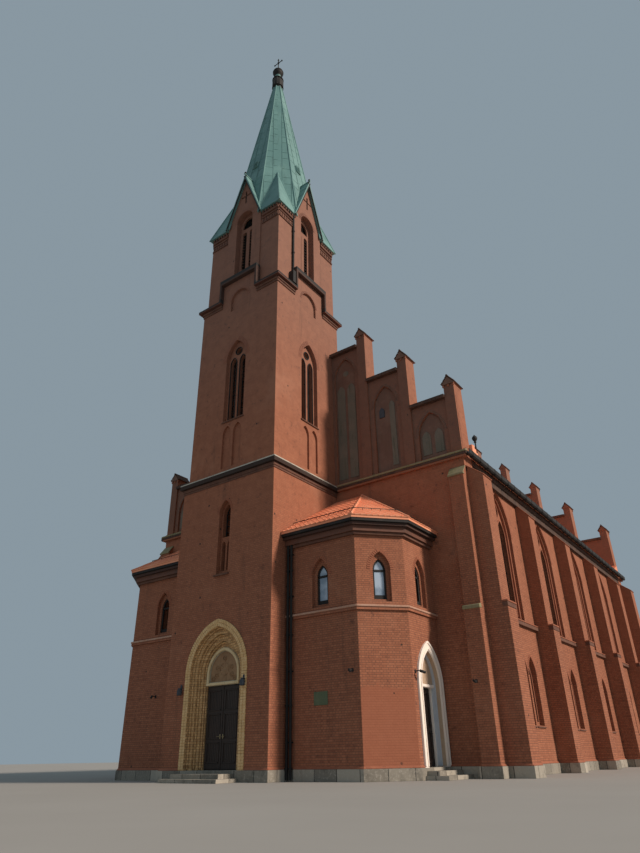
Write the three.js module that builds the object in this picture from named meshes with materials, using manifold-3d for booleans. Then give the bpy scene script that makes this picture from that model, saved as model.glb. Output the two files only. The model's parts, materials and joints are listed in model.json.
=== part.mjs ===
// Brick Gothic Revival church: a west tower with a copper spire, a nave with stepped gables and
// two half-octagon annexes beside the tower. It is a model at half the real size.
// All sizes below are the real building's, in metres, and `unit` makes them millimetres of the model.
// Frame: -Y is the portal front, +X the side with the side door, +Z up, ground at z = 0.
// Sizes are written with x = 0 and y = 0 at the middle of the tower's front face.
import * as THREE from 'three';
import { mergeVertices } from 'three/addons/utils/BufferGeometryUtils.js';
import { ConvexGeometry } from 'three/addons/geometries/ConvexGeometry.js';
import Module from 'manifold-3d';

const unit = 500; // millimetres of the model for one real metre
const gap = 0.0006; // between neighbouring pieces
const past = 0.1; // how far a cutter runs past a face
const seam = 0.01; // millimetres, the finest step that a joined face keeps

// base
const plinthTop = 0.37;
const plinthOut = 0.08;
const plinthThick = 0.3;
const floorBottom = 0.1;
const seat = plinthTop + gap;

// tower
const towerHalf = 2.785;
const towerMiddle = towerHalf; // y of the tower's axis
const towerInner = 1.75;
const frontBack = towerMiddle - towerInner; // y of the front wall's inner face
const lowerTop = 12.12;
const upperHalf = 2.66;
const upperTop = 22.75;
const raisedTop = 24.0;
const raisedHalf = 1.22;
const padInner = 2.4;
const stringOut = 0.29;
const stringHigh = 0.31;
const belfryHalf = 2.54;
const bayHalf = 2.6;
const bayWidth = 1.25;
const belfryTop = 28.35;
const gableWallInner = 2.15;
const gablePeak = 31.95;

// spire
const spireFoot = 2.72;
const spireTop = 43.9;
const spireTopHalf = 0.3;
const spireHollowFoot = 2.3;
const spireHollowTop = 0.12;
const broachPeak = 32.6;
const gableRoofPeak = 32.2;
const gableRoofFoot = 1.38;
const gableRoofOut = 2.8;
const crossTop = 47.6;

// portal
const portalHalf = 1.68;
const portalPeak = 5.81;
const portalSpring = 3.8;
const portalSplit = 4.0;
const lintelUnder = 3.32;
const doorwayHalf = 0.88;
const leafPlane = 0.52;
const leafThick = 0.08;
const leafWidth = 0.858;
const leafBottom = 0.385;
const leafTop = 3.305;
const clearance = 0.012; // beside a leaf that swings
const pivotIn = 0.02; // a leaf's pivot lies this far inside its hinge edge and its inner face
const pivotRadius = 0.016;

// nave
const naveFront = 4.75;
const naveBack = 32.75;
const bays = 4;
const gableThick = 0.85;
const gableHalf = 9.5;
const naveHalf = 9.3;
const gableReach = 9.55; // the side walls' cornice ends against the gables inside this
const naveWall = 0.7;
const stepPitch = 2.31;
const pilasterHalf = 0.25;
const pilasterPeak = 25.98;
const copingTop = 25.08;
const stepDrop = 2.41;
const copingThick = 0.12;
const panelDepth = 0.1;
const nicheDepth = 0.15;
const nicheHalf = 0.65;
const nichePeaks = [22.2, 19.8, 17.2, 14.9];
const naveStringOut = 0.15;
const eavesOut = 9.66;
const eavesTop = 12.45;
const roofSlope = 1.045;
const roofThick = 0.27;
const buttressFirst = 11.17; // the first between two bays
const buttressPitch = 5.92;
const buttressWide = 0.85;
const buttressOut = 9.9;
const buttressFootOut = 10.1;
const endButtressStart = 4.85; // the larger one beside each gable
const endButtressWide = 0.9;
const endButtressMore = 0.3; // how far it stands out past the others
const bayFirst = 8.705;
const cornerIn = 8.82;
const cornerOut = 9.5;
const cornerFoot = 0.45;
const cornerUpper = 0.3;

// annexes, with the corner of the front and of the side and the end of the ridge
const annexFront = 1.0;
const annexBend = 2.45;
const annexWall = 0.55;
const annexTop = 8.5;
const annexEaves = 8.95;
const annexRidge = 11.62;
const annexRoofThick = 0.22;
const rightAnnex = { corner: 6.1, side: 7.42, ridge: 4.25 };
const leftAnnex = { corner: 6.6, side: 7.92, ridge: 4.5 };

// side door, in the right annex
const sideDoorMiddle = 3.7;
const surroundHalf = 0.98;
const surroundPeak = 4.59;
const surroundFront = 7.47;
const surroundBack = 6.875;
const sideDoorSplit = 3.9;
const sideLeafHalf = 0.54;
const sideLeafBack = 7.0;
const sideLeafThick = 0.07;
const sideLeafTop = 2.95;
const sideLintel = 2.97;

const wasm = await Module();
wasm.setup();

const paint = (color, roughness, metalness = 0) => ({ color, roughness, metalness });
const brick = paint(0xb2603f, 0.9);
const yellowBrick = paint(0xb8924a, 0.9);
const granite = paint(0x8d8a82, 0.95);
const paleStone = paint(0xc9bf9c, 0.85);
const plaster = paint(0xe4ddd2, 0.8);
const copper = paint(0x6f9d8c, 0.6, 0.3);
const clayTile = paint(0xd0683c, 0.85);
const darkMetal = paint(0x2c2c2b, 0.5, 0.6);
const darkWood = paint(0x2e1d14, 0.55);
const glass = paint(0x5d7488, 0.1);
const louvre = paint(0x2b2725, 0.8);

const building = new THREE.Group();

// a closed geometry, in millimetres, as a solid that can be cut and joined
function solid(geometry) {
  const plain = geometry.clone();
  plain.deleteAttribute('normal');
  plain.deleteAttribute('uv');
  const welded = mergeVertices(plain, 1e-3);
  return new wasm.Manifold(new wasm.Mesh({
    numProp: 3,
    vertProperties: new Float32Array(welded.attributes.position.array),
    triVerts: new Uint32Array(welded.index.array),
  }));
}

// a finished solid as a named mesh of the building, without the seams of its joins
function piece(name, shape, look) {
  const { vertProperties, triVerts } = shape.asOriginal().simplify(seam).getMesh();
  const geometry = new THREE.BufferGeometry();
  geometry.setAttribute('position', new THREE.BufferAttribute(new Float32Array(vertProperties), 3));
  geometry.setIndex(new THREE.BufferAttribute(new Uint32Array(triVerts), 1));
  geometry.computeVertexNormals();
  const mesh = new THREE.Mesh(geometry, new THREE.MeshStandardMaterial(look));
  mesh.name = name;
  building.add(mesh);
}

function box(x0, x1, y0, y1, z0, z1) {
  const geometry = new THREE.BoxGeometry((x1 - x0) * unit, (y1 - y0) * unit, (z1 - z0) * unit);
  geometry.translate((x0 + x1) / 2 * unit, (y0 + y1) / 2 * unit, (z0 + z1) / 2 * unit);
  return solid(geometry);
}

function extrude(outline, depth) {
  const shape = new THREE.Shape(outline.map(([a, b]) => new THREE.Vector2(a * unit, b * unit)));
  return new THREE.ExtrudeGeometry(shape, { depth: depth * unit, bevelEnabled: false });
}

// an outline in x and z, carried from y0 to y1
function alongY(outline, y0, y1) {
  const geometry = extrude(outline, y1 - y0);
  geometry.rotateX(Math.PI / 2);
  geometry.translate(0, y1 * unit, 0);
  return solid(geometry);
}

// an outline in y and z, carried from x0 to x1
function alongX(outline, x0, x1) {
  const geometry = extrude(outline, x1 - x0);
  geometry.rotateX(Math.PI / 2);
  geometry.rotateZ(Math.PI / 2);
  geometry.translate(x0 * unit, 0, 0);
  return solid(geometry);
}

// an outline in x and y, carried from z0 to z1
function alongZ(outline, z0, z1) {
  const geometry = extrude(outline, z1 - z0);
  geometry.translate(0, 0, z0 * unit);
  return solid(geometry);
}

function hull(points) {
  const corners = points.map(([x, y, z]) => new THREE.Vector3(x * unit, y * unit, z * unit));
  return solid(new ConvexGeometry(corners));
}

// a solid that runs straight from one level outline to another above it
const taper = (low, z0, high, z1) => hull([
  ...low.map(([x, y]) => [x, y, z0]),
  ...high.map(([x, y]) => [x, y, z1]),
]);

const join = (solids) => solids.reduce((sum, next) => sum.add(next));
const cut = (body, cutters) => cutters.reduce((rest, next) => rest.subtract(next), body);
const keep = (body, ...limits) => body.intersect(box(...limits));
const flipX = (body) => body.mirror([1, 0, 0]);
const flipEnds = (body) => body.mirror([0, 1, 0]).translate([0, (naveFront + naveBack) * unit, 0]);
const bothSides = (body) => [body, flipX(body)];

const rect = (a0, a1, b0, b1) => [[a0, b0], [a1, b0], [a1, b1], [a0, b1]];
const square = (half) => rect(-half, half, -half, half);

// a pointed arch outline; the arch rises from its springing to the peak, and rise = half is round
function arch(middle, half, foot, peak, rise = half * Math.sqrt(3), steps = 5) {
  const radius = (half * half + rise * rise) / (2 * half);
  const sweep = Math.asin(Math.min(1, rise / radius));
  const first = peak - rise > foot + gap ? 0 : 1; // no second point where the arch starts at the foot
  const points = [[middle - half, foot], [middle + half, foot]];
  for (let i = first; i <= steps; i += 1) {
    const angle = sweep * i / steps;
    const reach = half - radius + radius * Math.cos(angle);
    points.push([middle + reach, peak - rise + radius * Math.sin(angle)]);
  }
  for (let i = steps - 1; i >= first; i -= 1) {
    const angle = sweep * i / steps;
    const reach = half - radius + radius * Math.cos(angle);
    points.push([middle - reach, peak - rise + radius * Math.sin(angle)]);
  }
  return points;
}

const round = (middle, half, foot, peak) => arch(middle, half, foot, peak, half);

function disc(middle, z, radius, sides = 12) {
  return Array.from({ length: sides }, (_, i) => {
    const angle = (i + 0.5) * 2 * Math.PI / sides;
    return [middle + radius * Math.cos(angle), z + radius * Math.sin(angle)];
  });
}

// an octagon with four of its sides square to x and y
function octagon(apothem) {
  const radius = apothem / Math.cos(Math.PI / 8);
  return Array.from({ length: 8 }, (_, i) => {
    const angle = (i + 0.5) * Math.PI / 4;
    return [radius * Math.cos(angle), radius * Math.sin(angle)];
  });
}

// The tower's parts are made round its own axis, with a face's distance from the axis as n,
// for the front side, and are then turned to the sides and moved to the tower's place.
const onFront = (outline, n0, n1) => alongY(outline, -n1, -n0);
const turn = (body, angle) => body.rotate([0, 0, angle]);
const allSides = (body) => [0, 90, 180, 270].map((angle) => turn(body, angle));
const shownSides = (body) => [0, 90, 270].map((angle) => turn(body, angle));
const atTower = (body) => body.translate([0, towerMiddle * unit, 0]);
const tube = (outer, inner, z0, z1) => (
  alongZ(square(outer), z0, z1).subtract(alongZ(square(inner), z0 - past, z1 + past)));

// the outer faces of an annex from the tower to the nave, moved outwards by a distance
function annexFaces(annex, distance) {
  const slant = Math.hypot(annex.side - annex.corner, annexBend - annexFront);
  const out = [(annexBend - annexFront) / slant, -(annex.side - annex.corner) / slant];
  const front = annexFront - distance;
  const side = annex.side + distance;
  // where the slanted face, moved out, meets the front and the side face
  const reach = annex.corner * out[0] + annexFront * out[1] + distance;
  return [
    [towerHalf + gap, front],
    [(reach - front * out[1]) / out[0], front],
    [side, (reach - side * out[0]) / out[1]],
    [side, naveFront - gap],
  ];
}

// the closed plan of an annex, which may run on under or into the tower and the nave
function annexPlan(annex, distance, into = 0) {
  const [first, ...rest] = annexFaces(annex, distance);
  const last = rest.pop();
  return [
    [first[0] - into, first[1]],
    ...rest,
    [last[0], last[1] + into],
    [first[0] - into, last[1] + into],
  ];
}

// a band that follows an annex's outer walls
const annexBand = (annex, outer, inner, z0, z1) => (
  alongZ(annexPlan(annex, outer), z0, z1)
    .subtract(alongZ(annexPlan(annex, inner, past), z0 - past, z1 + past)));

const buttressRows = Array.from({ length: bays }, (_, i) => ({
  start: buttressFirst + i * buttressPitch, wide: buttressWide, more: 0,
}));
buttressRows.push({ start: endButtressStart, wide: endButtressWide, more: endButtressMore });
buttressRows.push({
  start: naveFront + naveBack - endButtressStart - endButtressWide, wide: endButtressWide, more: endButtressMore,
});
const bayMiddles = Array.from({ length: bays }, (_, i) => bayFirst + i * buttressPitch);

// the whole footprint, each outer face moved out by a distance
function footprint(distance, z0, z1) {
  const into = 0.6;
  const cornerStart = distance > 0 ? cornerIn : naveHalf - naveWall; // inside, it runs on to the nave
  const corner = box(
    cornerStart - distance, cornerOut + distance,
    naveFront - cornerFoot - distance, naveFront + into, z0, z1);
  const rows = buttressRows.map(({ start, wide, more }) => box(
    -buttressFootOut - more - distance, buttressFootOut + more + distance,
    start - distance, start + wide + distance, z0, z1));
  return join([
    atTower(alongZ(square(towerHalf + distance), z0, z1)),
    alongZ(annexPlan(rightAnnex, distance, into), z0, z1),
    flipX(alongZ(annexPlan(leftAnnex, distance, into), z0, z1)),
    box(-naveHalf - distance, naveHalf + distance, naveFront - distance, naveBack + distance, z0, z1),
    ...bothSides(corner),
    ...bothSides(flipEnds(corner)),
    ...rows,
  ]);
}

function makeBase() {
  const ring = footprint(plinthOut, 0, plinthTop)
    .subtract(footprint(-plinthThick, -past, plinthTop + past));
  piece('granite_plinth', ring, granite);
  piece('floor', footprint(-plinthThick - gap, floorBottom, plinthTop), granite);
}

const portalPlan = (inset) => (
  arch(0, portalHalf - inset, plinthTop - past, portalPeak - inset, portalPeak - portalSpring, 8));

function makeTowerFront() {
  const lancet = [
    alongY(arch(0, 0.34, 7.7, 11.0), -past, 0.2),
    alongY(arch(0, 0.27, 9.34, 10.85), 0, frontBack + past),
    alongY(arch(-0.155, 0.105, 7.85, 9.16), 0, frontBack + past),
    alongY(arch(0.155, 0.105, 7.85, 9.16), 0, frontBack + past),
  ];
  const doorway = alongY(portalPlan(0), -past, frontBack + past);
  const wall = cut(box(-towerHalf, towerHalf, 0, frontBack, seat, lowerTop), [doorway, ...lancet]);
  const pier = keep(wall, -towerHalf - past, 0, -past, frontBack + past, 0, portalSplit - gap);
  piece('tower_front_left', pier, brick);
  piece('tower_front_right', flipX(pier), brick);
  const over = keep(wall, -3, 3, -past, frontBack + past, portalSplit, lowerTop + past);
  piece('tower_front_over_portal', over, brick);
}

function makePortal() {
  const face = 0.03; // how far the arch stands out from the wall
  const orders = [
    { half: 1.4, peak: 5.5, depth: 0.17 },
    { half: 1.2, peak: 5.25, depth: 0.33 },
    { half: 1.0, peak: 4.98, depth: 0.47 },
  ].map(({ half, peak, depth }) => (
    alongY(arch(0, half, plinthTop - past, peak, peak - portalSpring, 8), -past, depth)));
  const doorway = alongY(rect(-doorwayHalf, doorwayHalf, 0, lintelUnder), 0, frontBack + past);
  const field = (inset) => arch(0, 0.9 - inset, lintelUnder + inset, 4.76 - inset, 1.0, 8);
  const pocket = alongY(field(0), 0.44, 0.6);
  const whole = alongY(portalPlan(gap), -face, frontBack - gap);
  const arches = cut(whole, [...orders, doorway, pocket]);
  piece('portal_arch', keep(arches, -3, 3, -1, 2, seat, 7), yellowBrick);

  const plate = alongY(field(gap), 0.46, 0.6 - gap);
  const relief = alongY(arch(0, 0.74, 3.46, 4.6, 0.84, 8), 0.4, 0.5);
  piece('portal_tympanum', plate.subtract(relief), paleStone);
}

// the pins that a leaf turns on, down to the floor and up to the lintel
const pivots = (x, y, lintel) => alongZ(disc(x, y, pivotRadius, 8), plinthTop + gap, lintel - gap);

function makePortalDoors() {
  const hinge = doorwayHalf - clearance;
  const inside = leafPlane + leafThick;
  const pins = pivots(-hinge + pivotIn, inside - pivotIn, lintelUnder);
  const slab = box(-hinge, leafWidth - hinge, leafPlane, inside, leafBottom, leafTop).add(pins);
  const panels = [
    rect(-0.75, -0.12, 0.6, 1.3),
    rect(-0.75, -0.12, 1.42, 2.3),
    rect(-0.75, -0.12, 2.42, 3.15),
  ].map((outline) => alongY(outline, leafPlane - past, leafPlane + 0.02));
  const leaf = cut(slab, panels);
  piece('portal_door_left', leaf, darkWood);
  piece('portal_door_right', flipX(leaf), darkWood);
}

function makePortalSteps() {
  const against = -plinthOut - gap;
  const top = box(-1.22, 1.22, -0.8, against, 0, 0.27);
  const low = box(-1.47, 1.47, -1.15, against, 0, 0.12);
  piece('portal_steps', top.add(low), granite);
}

function makeTowerLower() {
  const ring = atTower(tube(towerHalf, towerInner, seat, lowerTop));
  const front = box(-3, 3, -past, frontBack + gap, 0, lowerTop + past);
  piece('tower_lower_walls', ring.subtract(front), brick);

  const outer = upperHalf + stringOut;
  const course = join([
    alongZ(square(outer), lowerTop + gap, lowerTop + 0.24),
    taper(square(outer), lowerTop + 0.24, square(upperHalf), lowerTop + 0.43),
  ]);
  const inside = alongZ(square(upperHalf + gap), lowerTop - past, lowerTop + 1);
  const string = atTower(course.subtract(inside));
  const end = naveFront - gap;
  piece('tower_lower_string', keep(string, -4, 4, -1, end, lowerTop - past, lowerTop + 1), paleStone);
}

function makeTowerUpper() {
  const sill = 15.25;
  const windowPeak = 19.9;
  const pad = onFront(rect(-raisedHalf + gap, raisedHalf - gap, upperTop - past, raisedTop), padInner, upperHalf);
  const niche = onFront(round(0, 0.62, 22.0, 23.28), upperHalf - 0.12, upperHalf + past);
  const opening = join([
    onFront(arch(0, 0.66, sill, windowPeak), upperHalf - 0.2, upperHalf + past),
    onFront(arch(-0.305, 0.195, sill + 0.12, 18.95), towerInner - past, upperHalf),
    onFront(arch(0.305, 0.195, sill + 0.12, 18.95), towerInner - past, upperHalf),
    onFront(disc(0, 19.3, 0.2), towerInner - past, upperHalf),
  ]);
  const panel = join([
    onFront(arch(-0.34, 0.27, 12.7, 14.95), upperHalf - 0.1, upperHalf + past),
    onFront(arch(0.34, 0.27, 12.7, 14.95), upperHalf - 0.1, upperHalf + past),
  ]);
  const walls = join([tube(upperHalf, towerInner, lowerTop + gap, upperTop), ...allSides(pad)]);
  const cutters = [...allSides(niche), ...shownSides(opening), ...shownSides(panel)];
  piece('tower_upper_walls', atTower(cut(walls, cutters)), brick);
}

function makeUpperString() {
  const outer = upperHalf + 0.23;
  const inner = bayHalf + gap;
  const returnHalf = raisedHalf + 0.12;
  const low = upperTop + gap;
  const ring = join([
    alongZ(square(outer), low, low + 0.16),
    taper(square(outer), low + 0.16, square(belfryHalf), low + stringHigh),
  ]);
  const middle = onFront(rect(-raisedHalf, raisedHalf, low - past, low + 1), 0, 4);
  const bay = onFront(rect(-bayWidth - gap, bayWidth + gap, low - past, low + 1), 0, inner);
  const core = alongZ(square(belfryHalf + gap), low - past, low + 1);
  const corners = cut(ring, [core, ...allSides(middle), ...allSides(bay)]);
  const raised = join([
    onFront(rect(-returnHalf, -raisedHalf, low, raisedTop + 0.3), inner, outer),
    onFront(rect(raisedHalf, returnHalf, low, raisedTop + 0.3), inner, outer),
    onFront(rect(-returnHalf, returnHalf, raisedTop + gap, raisedTop + 0.3), inner, outer),
  ]);
  const whole = atTower(join([corners, ...allSides(raised)]));
  piece('tower_upper_string', whole.subtract(downpipeShape(0.01)), darkMetal);
}

// the pipe from the spire's eaves, down the corner pier beside the belfry bay, made wider by a margin
function downpipeShape(margin) {
  const radius = 0.062 + margin;
  const middle = [belfryHalf + 0.08, towerMiddle - bayWidth - 0.075];
  const pipe = alongZ(disc(middle[0], middle[1], radius, 8), 23.8 - margin, 28.3);
  const box1 = box(belfryHalf + gap, 2.84 + margin, 1.2 - margin, 1.43 + margin, 23.1, 23.9 + margin);
  const clips = [24.6, 26.2, 27.8].map((z) => (
    box(belfryHalf + gap, middle[0], middle[1] - 0.05, middle[1] + 0.05, z, z + 0.06)));
  return join([pipe, box1, ...clips]);
}

function makeBelfry() {
  const foot = upperTop + gap;
  const pier = tube(belfryHalf, towerInner, foot, belfryTop);
  const bay = onFront(rect(-bayWidth, bayWidth, foot, belfryTop), towerInner + past, bayHalf);
  const gable = onFront([
    [-bayWidth, belfryTop - past],
    [bayWidth, belfryTop - past],
    [bayWidth, belfryTop + 0.1],
    [0, gablePeak],
    [-bayWidth, belfryTop + 0.1],
  ], gableWallInner, bayHalf);
  const pad = onFront(
    rect(-raisedHalf, raisedHalf, foot - past, raisedTop + gap), padInner - gap, bayHalf + past);
  const opening = join([
    onFront(round(0, 0.6, 24.45, 29.2), bayHalf - 0.35, bayHalf + past),
    onFront(round(-0.27, 0.15, 24.6, 27.95), towerInner - past, bayHalf),
    onFront(round(0.27, 0.15, 24.6, 27.95), towerInner - past, bayHalf),
    onFront(round(0, 0.42, 28.2, 28.95), towerInner - past, bayHalf),
    onFront(rect(-0.06, 0.06, 29.9, 30.9), bayHalf - 0.12, bayHalf + past),
    onFront(rect(-0.38, 0.38, 30.44, 30.56), bayHalf - 0.12, bayHalf + past),
  ]);
  const solidPart = join([pier, ...allSides(bay), ...allSides(gable)]);
  const cutters = [...allSides(pad), ...allSides(opening)];
  piece('belfry_walls', atTower(cut(solidPart, cutters)), brick);
}

function makeSpire() {
  const foot = belfryTop + gap;
  const cone = taper(octagon(spireFoot), foot, octagon(spireTopHalf), spireTop);
  const vertex = spireFoot * Math.tan(Math.PI / 8);
  const slope = (spireFoot - spireTopHalf) / (spireTop - foot);
  const ridge = (spireFoot - slope * (broachPeak - foot)) * Math.SQRT1_2;
  const broach = hull([
    [spireFoot, -spireFoot, foot],
    [vertex, -spireFoot, foot],
    [spireFoot, -vertex, foot],
    [ridge, -ridge, broachPeak],
    [ridge * 0.6, -ridge * 0.6, foot],
    [ridge * 0.6, -ridge * 0.6, broachPeak],
  ]);
  const saddle = onFront([
    [-gableRoofFoot, foot], [gableRoofFoot, foot], [0, gableRoofPeak],
  ], 1.4, gableRoofOut);
  const gableRoom = onFront([
    [-bayWidth - gap, belfryTop - past],
    [bayWidth + gap, belfryTop - past],
    [bayWidth + gap, belfryTop + 0.1 + gap],
    [0, gablePeak + 4 * gap],
    [-bayWidth - gap, belfryTop + 0.1 + gap],
  ], gableWallInner - gap, gableRoofOut + past);
  const hollowTop = spireTop - 0.6;
  const hollow = taper(octagon(spireHollowFoot), foot - past, octagon(spireHollowTop), hollowTop);
  const shell = cut(join([cone, ...allSides(broach), ...allSides(saddle)]), [hollow, ...allSides(gableRoom)]);
  piece('spire_roof', atTower(shell), copper);
}

function makeFinial() {
  const profile = [
    [0, spireTop + gap], [0.34, spireTop + gap], [0.42, 44.2], [0.42, 44.75], [0.3, 45.0],
    [0.2, 45.1], [0.2, 45.45], [0.3, 45.62], [0.38, 45.85], [0.3, 46.08], [0.1, 46.22], [0, 46.22],
  ].map(([r, z]) => new THREE.Vector2(r * unit, z * unit));
  const knob = new THREE.LatheGeometry(profile, 12);
  knob.rotateX(Math.PI / 2);
  const rod = box(-0.045, 0.045, -0.045, 0.045, 46.1, crossTop);
  const arms = box(-0.38, 0.38, -0.045, 0.045, 47.05, 47.14);
  piece('spire_finial', atTower(join([solid(knob), rod, arms])), darkMetal);
}

// a stepped gable wall at the west front, over its full width
function gableWall() {
  const back = naveFront + gableThick;
  const panelFace = naveFront + panelDepth;
  const string = lowerTop;
  const parts = [
    box(-gableHalf, gableHalf, naveFront, back, seat, string + 0.3),
    box(-gableReach, gableReach, endButtressStart, back, seat, 11.5),
  ];
  const niches = [];
  for (let k = 1; k <= 4; k += 1) {
    const inner = stepPitch * (k - 1);
    const outer = k < 4 ? stepPitch * k : gableHalf;
    const top = copingTop - stepDrop * k;
    const panel = box(inner, outer, panelFace, back, string, top - copingThick + 0.01);
    const coping = box(
      inner + pilasterHalf - 0.02, stepPitch * k - pilasterHalf + 0.02,
      naveFront - 0.06, back + 0.08, top - copingThick, top);
    const middle = stepPitch * (k - 0.5);
    const niche = alongY(
      arch(middle, nicheHalf, string + 0.45, nichePeaks[k - 1]), naveFront, panelFace + nicheDepth);
    parts.push(...bothSides(panel), ...bothSides(coping));
    niches.push(...bothSides(niche));
  }
  for (let k = 0; k <= 4; k += 1) {
    const middle = stepPitch * k;
    const peak = pilasterPeak - stepDrop * k;
    const shaft = alongY(
      rect(middle - pilasterHalf, middle + pilasterHalf, string, peak - 0.3), naveFront, back);
    const cap = alongY([
      [middle - pilasterHalf - 0.05, peak - 0.36],
      [middle + pilasterHalf + 0.05, peak - 0.36],
      [middle, peak],
    ], naveFront - 0.05, back + 0.05);
    parts.push(...bothSides(shaft.add(cap)));
  }
  const twin = [
    alongY(arch(3.15, 0.24, 12.8, 17.6), naveFront, panelFace + nicheDepth + 0.1),
    alongY(arch(3.78, 0.24, 12.8, 17.6), naveFront, panelFace + nicheDepth + 0.1),
    alongY(disc(3.465, 18.35, 0.3), naveFront, panelFace + nicheDepth + 0.1),
  ];
  const course = alongX([
    [naveFront - naveStringOut, string],
    [naveFront + past, string],
    [naveFront + past, string + 0.47],
    [naveFront - naveStringOut, string + 0.25],
  ], -9.65, 9.65);
  const buttress = alongX([
    [naveFront - cornerFoot, seat],
    [naveFront + past, seat],
    [naveFront + past, 11.75],
    [naveFront, 11.75],
    [naveFront - cornerUpper, 11.3],
    [naveFront - cornerUpper, 5.84],
    [naveFront - cornerFoot, 5.72],
  ], cornerIn, cornerOut);
  const whole = join([...parts, course, ...bothSides(buttress)]);
  return cut(whole, [...niches, ...twin.flatMap(bothSides)]);
}

function makeNaveEnds() {
  const wall = gableWall();
  piece('nave_east_wall', flipEnds(wall), brick);
  const towerRoom = [
    box(-towerHalf - gap, towerHalf + gap, 0, 6, 0, lowerTop + gap),
    box(-upperHalf - gap, upperHalf + gap, 0, 6, lowerTop, 30),
    box(-upperHalf - stringOut - gap, upperHalf + stringOut + gap, 4, naveFront, lowerTop - gap, 12.7),
  ];
  const halves = cut(wall, towerRoom);
  piece('nave_west_wall_right', keep(halves, 0, 12, 4, 6, 0, 30), brick);
  piece('nave_west_wall_left', keep(halves, -12, 0, 4, 6, 0, 30), brick);
}

const roofUnder = (x) => eavesTop + roofSlope * (eavesOut - x) - roofThick;

function tallWindow(middle) {
  const face = naveHalf + past;
  const inside = naveHalf - naveWall - past;
  return [
    alongX(arch(middle, 1.15, 5.98, 11.8), naveHalf - 0.25, face),
    alongX(arch(middle - 0.5, 0.45, 6.15, 10.55), inside, naveHalf),
    alongX(arch(middle + 0.5, 0.45, 6.15, 10.55), inside, naveHalf),
    alongX(disc(middle, 10.95, 0.4), inside, naveHalf),
  ];
}

function lowerLancet(middle) {
  return [
    alongX(arch(middle, 0.44, 1.75, 4.45), naveHalf - 0.2, naveHalf + past),
    alongX(arch(middle, 0.27, 1.9, 4.1), naveHalf - naveWall - past, naveHalf),
  ];
}

function makeNaveSides() {
  const inner = naveHalf - naveWall;
  const wall = box(inner, naveHalf, naveFront, naveBack, seat, 14);
  const buttresses = buttressRows.map(({ start, wide, more }) => alongY([
    [naveHalf - past, seat],
    [buttressFootOut + more, seat],
    [buttressFootOut + more, 5.78],
    [buttressOut + more, 5.92],
    [buttressOut + more, 11.2],
    [naveHalf, 11.9],
    [naveHalf - past, 11.9],
  ], start, start + wide));
  const cornice = alongY([
    [naveHalf - past, 11.75],
    [naveHalf + 0.15, 11.75],
    [naveHalf + 0.15, 12.05],
    [naveHalf + 0.22, 12.05],
    [naveHalf + 0.22, 12.3],
    [naveHalf - past, 12.3],
  ], naveFront, naveBack);
  const sill = alongY([
    [naveHalf - past, 5.68],
    [naveHalf + 0.12, 5.68],
    [naveHalf + 0.12, 5.76],
    [naveHalf - past, 5.93],
  ], naveFront, naveBack);
  const aboveRoof = alongY([
    [inner - past, roofUnder(inner - past) - gap],
    [naveHalf + 1, roofUnder(naveHalf + 1) - gap],
    [naveHalf + 1, 20],
    [inner - past, 20],
  ], naveFront - 1, naveBack + 1);
  const end = box(inner - 1, gableReach + gap, naveFront - 1, naveFront + gableThick + gap, 0, 20);
  const holes = bayMiddles.flatMap((y) => (
    [...tallWindow(y), ...lowerLancet(y - 1.05), ...lowerLancet(y), ...lowerLancet(y + 1.05)]));
  const side = cut(join([wall, ...buttresses, cornice, sill]), [aboveRoof, end, flipEnds(end), ...holes]);
  piece('nave_right_wall', side, brick);
  piece('nave_left_wall', flipX(side), brick);

  const pane = box(
    inner - 0.08, inner - gap, naveFront + gableThick + 0.1, naveBack - gableThick - 0.1, 1.6, 11.5);
  piece('nave_right_glazing', pane, glass);
  piece('nave_left_glazing', flipX(pane), glass);
}

function makeNaveRoof() {
  const ridge = gap / 2;
  const section = [
    [eavesOut, eavesTop],
    [eavesOut, roofUnder(eavesOut)],
    [ridge, roofUnder(ridge)],
    [ridge, roofUnder(ridge) + roofThick],
  ];
  const start = naveFront + gableThick + 2 * gap;
  const slope = alongY(section, start, naveBack - gableThick - 2 * gap);
  const behindTower = keep(
    alongY(section, 2 * towerMiddle - 0.1244, start + 1), 0, upperHalf, 5, 8, 12, 30);
  const roof = slope.add(behindTower);
  piece('nave_roof_right', roof, clayTile);
  piece('nave_roof_left', flipX(roof), clayTile);

  const out = eavesOut + gap;
  const gutter = alongY([
    [out, 12.42], [out, 12.2], [out + 0.05, 12.18], [out + 0.13, 12.18], [out + 0.18, 12.23],
    [out + 0.18, 12.42], [out + 0.15, 12.42], [out + 0.15, 12.24], [out + 0.12, 12.21],
    [out + 0.06, 12.21], [out + 0.03, 12.23], [out + 0.03, 12.42],
  ], naveFront - 0.1, naveBack + 0.1);
  piece('nave_gutter_right', gutter, darkMetal);
  piece('nave_gutter_left', flipX(gutter), darkMetal);
}

// the windows of an annex's upper row: on the front, the slant and the side
function annexWindows(annex) {
  const spots = [
    { x: (towerHalf + annex.corner) / 2, y: annexFront, angle: 0 },
    {
      x: (annex.corner + annex.side) / 2,
      y: (annexFront + annexBend) / 2,
      angle: Math.atan2(annexBend - annexFront, annex.side - annex.corner) * 180 / Math.PI,
    },
    { x: annex.side, y: 3.65, angle: 90 },
  ];
  return spots.map(({ x, y, angle }) => {
    const hole = join([
      alongY(arch(0, 0.4, 5.85, 7.75), -past, 0.15),
      alongY(arch(0, 0.26, 5.95, 7.5), 0, annexWall + past),
    ]);
    return hole.rotate([0, 0, angle]).translate([x * unit, y * unit, 0]);
  });
}

function annexWalls(annex) {
  const walls = annexBand(annex, 0, -annexWall, seat, annexTop);
  const string = annexBand(annex, 0.07, -past, 5.52, 5.7);
  return cut(walls.add(string), annexWindows(annex));
}

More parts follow.
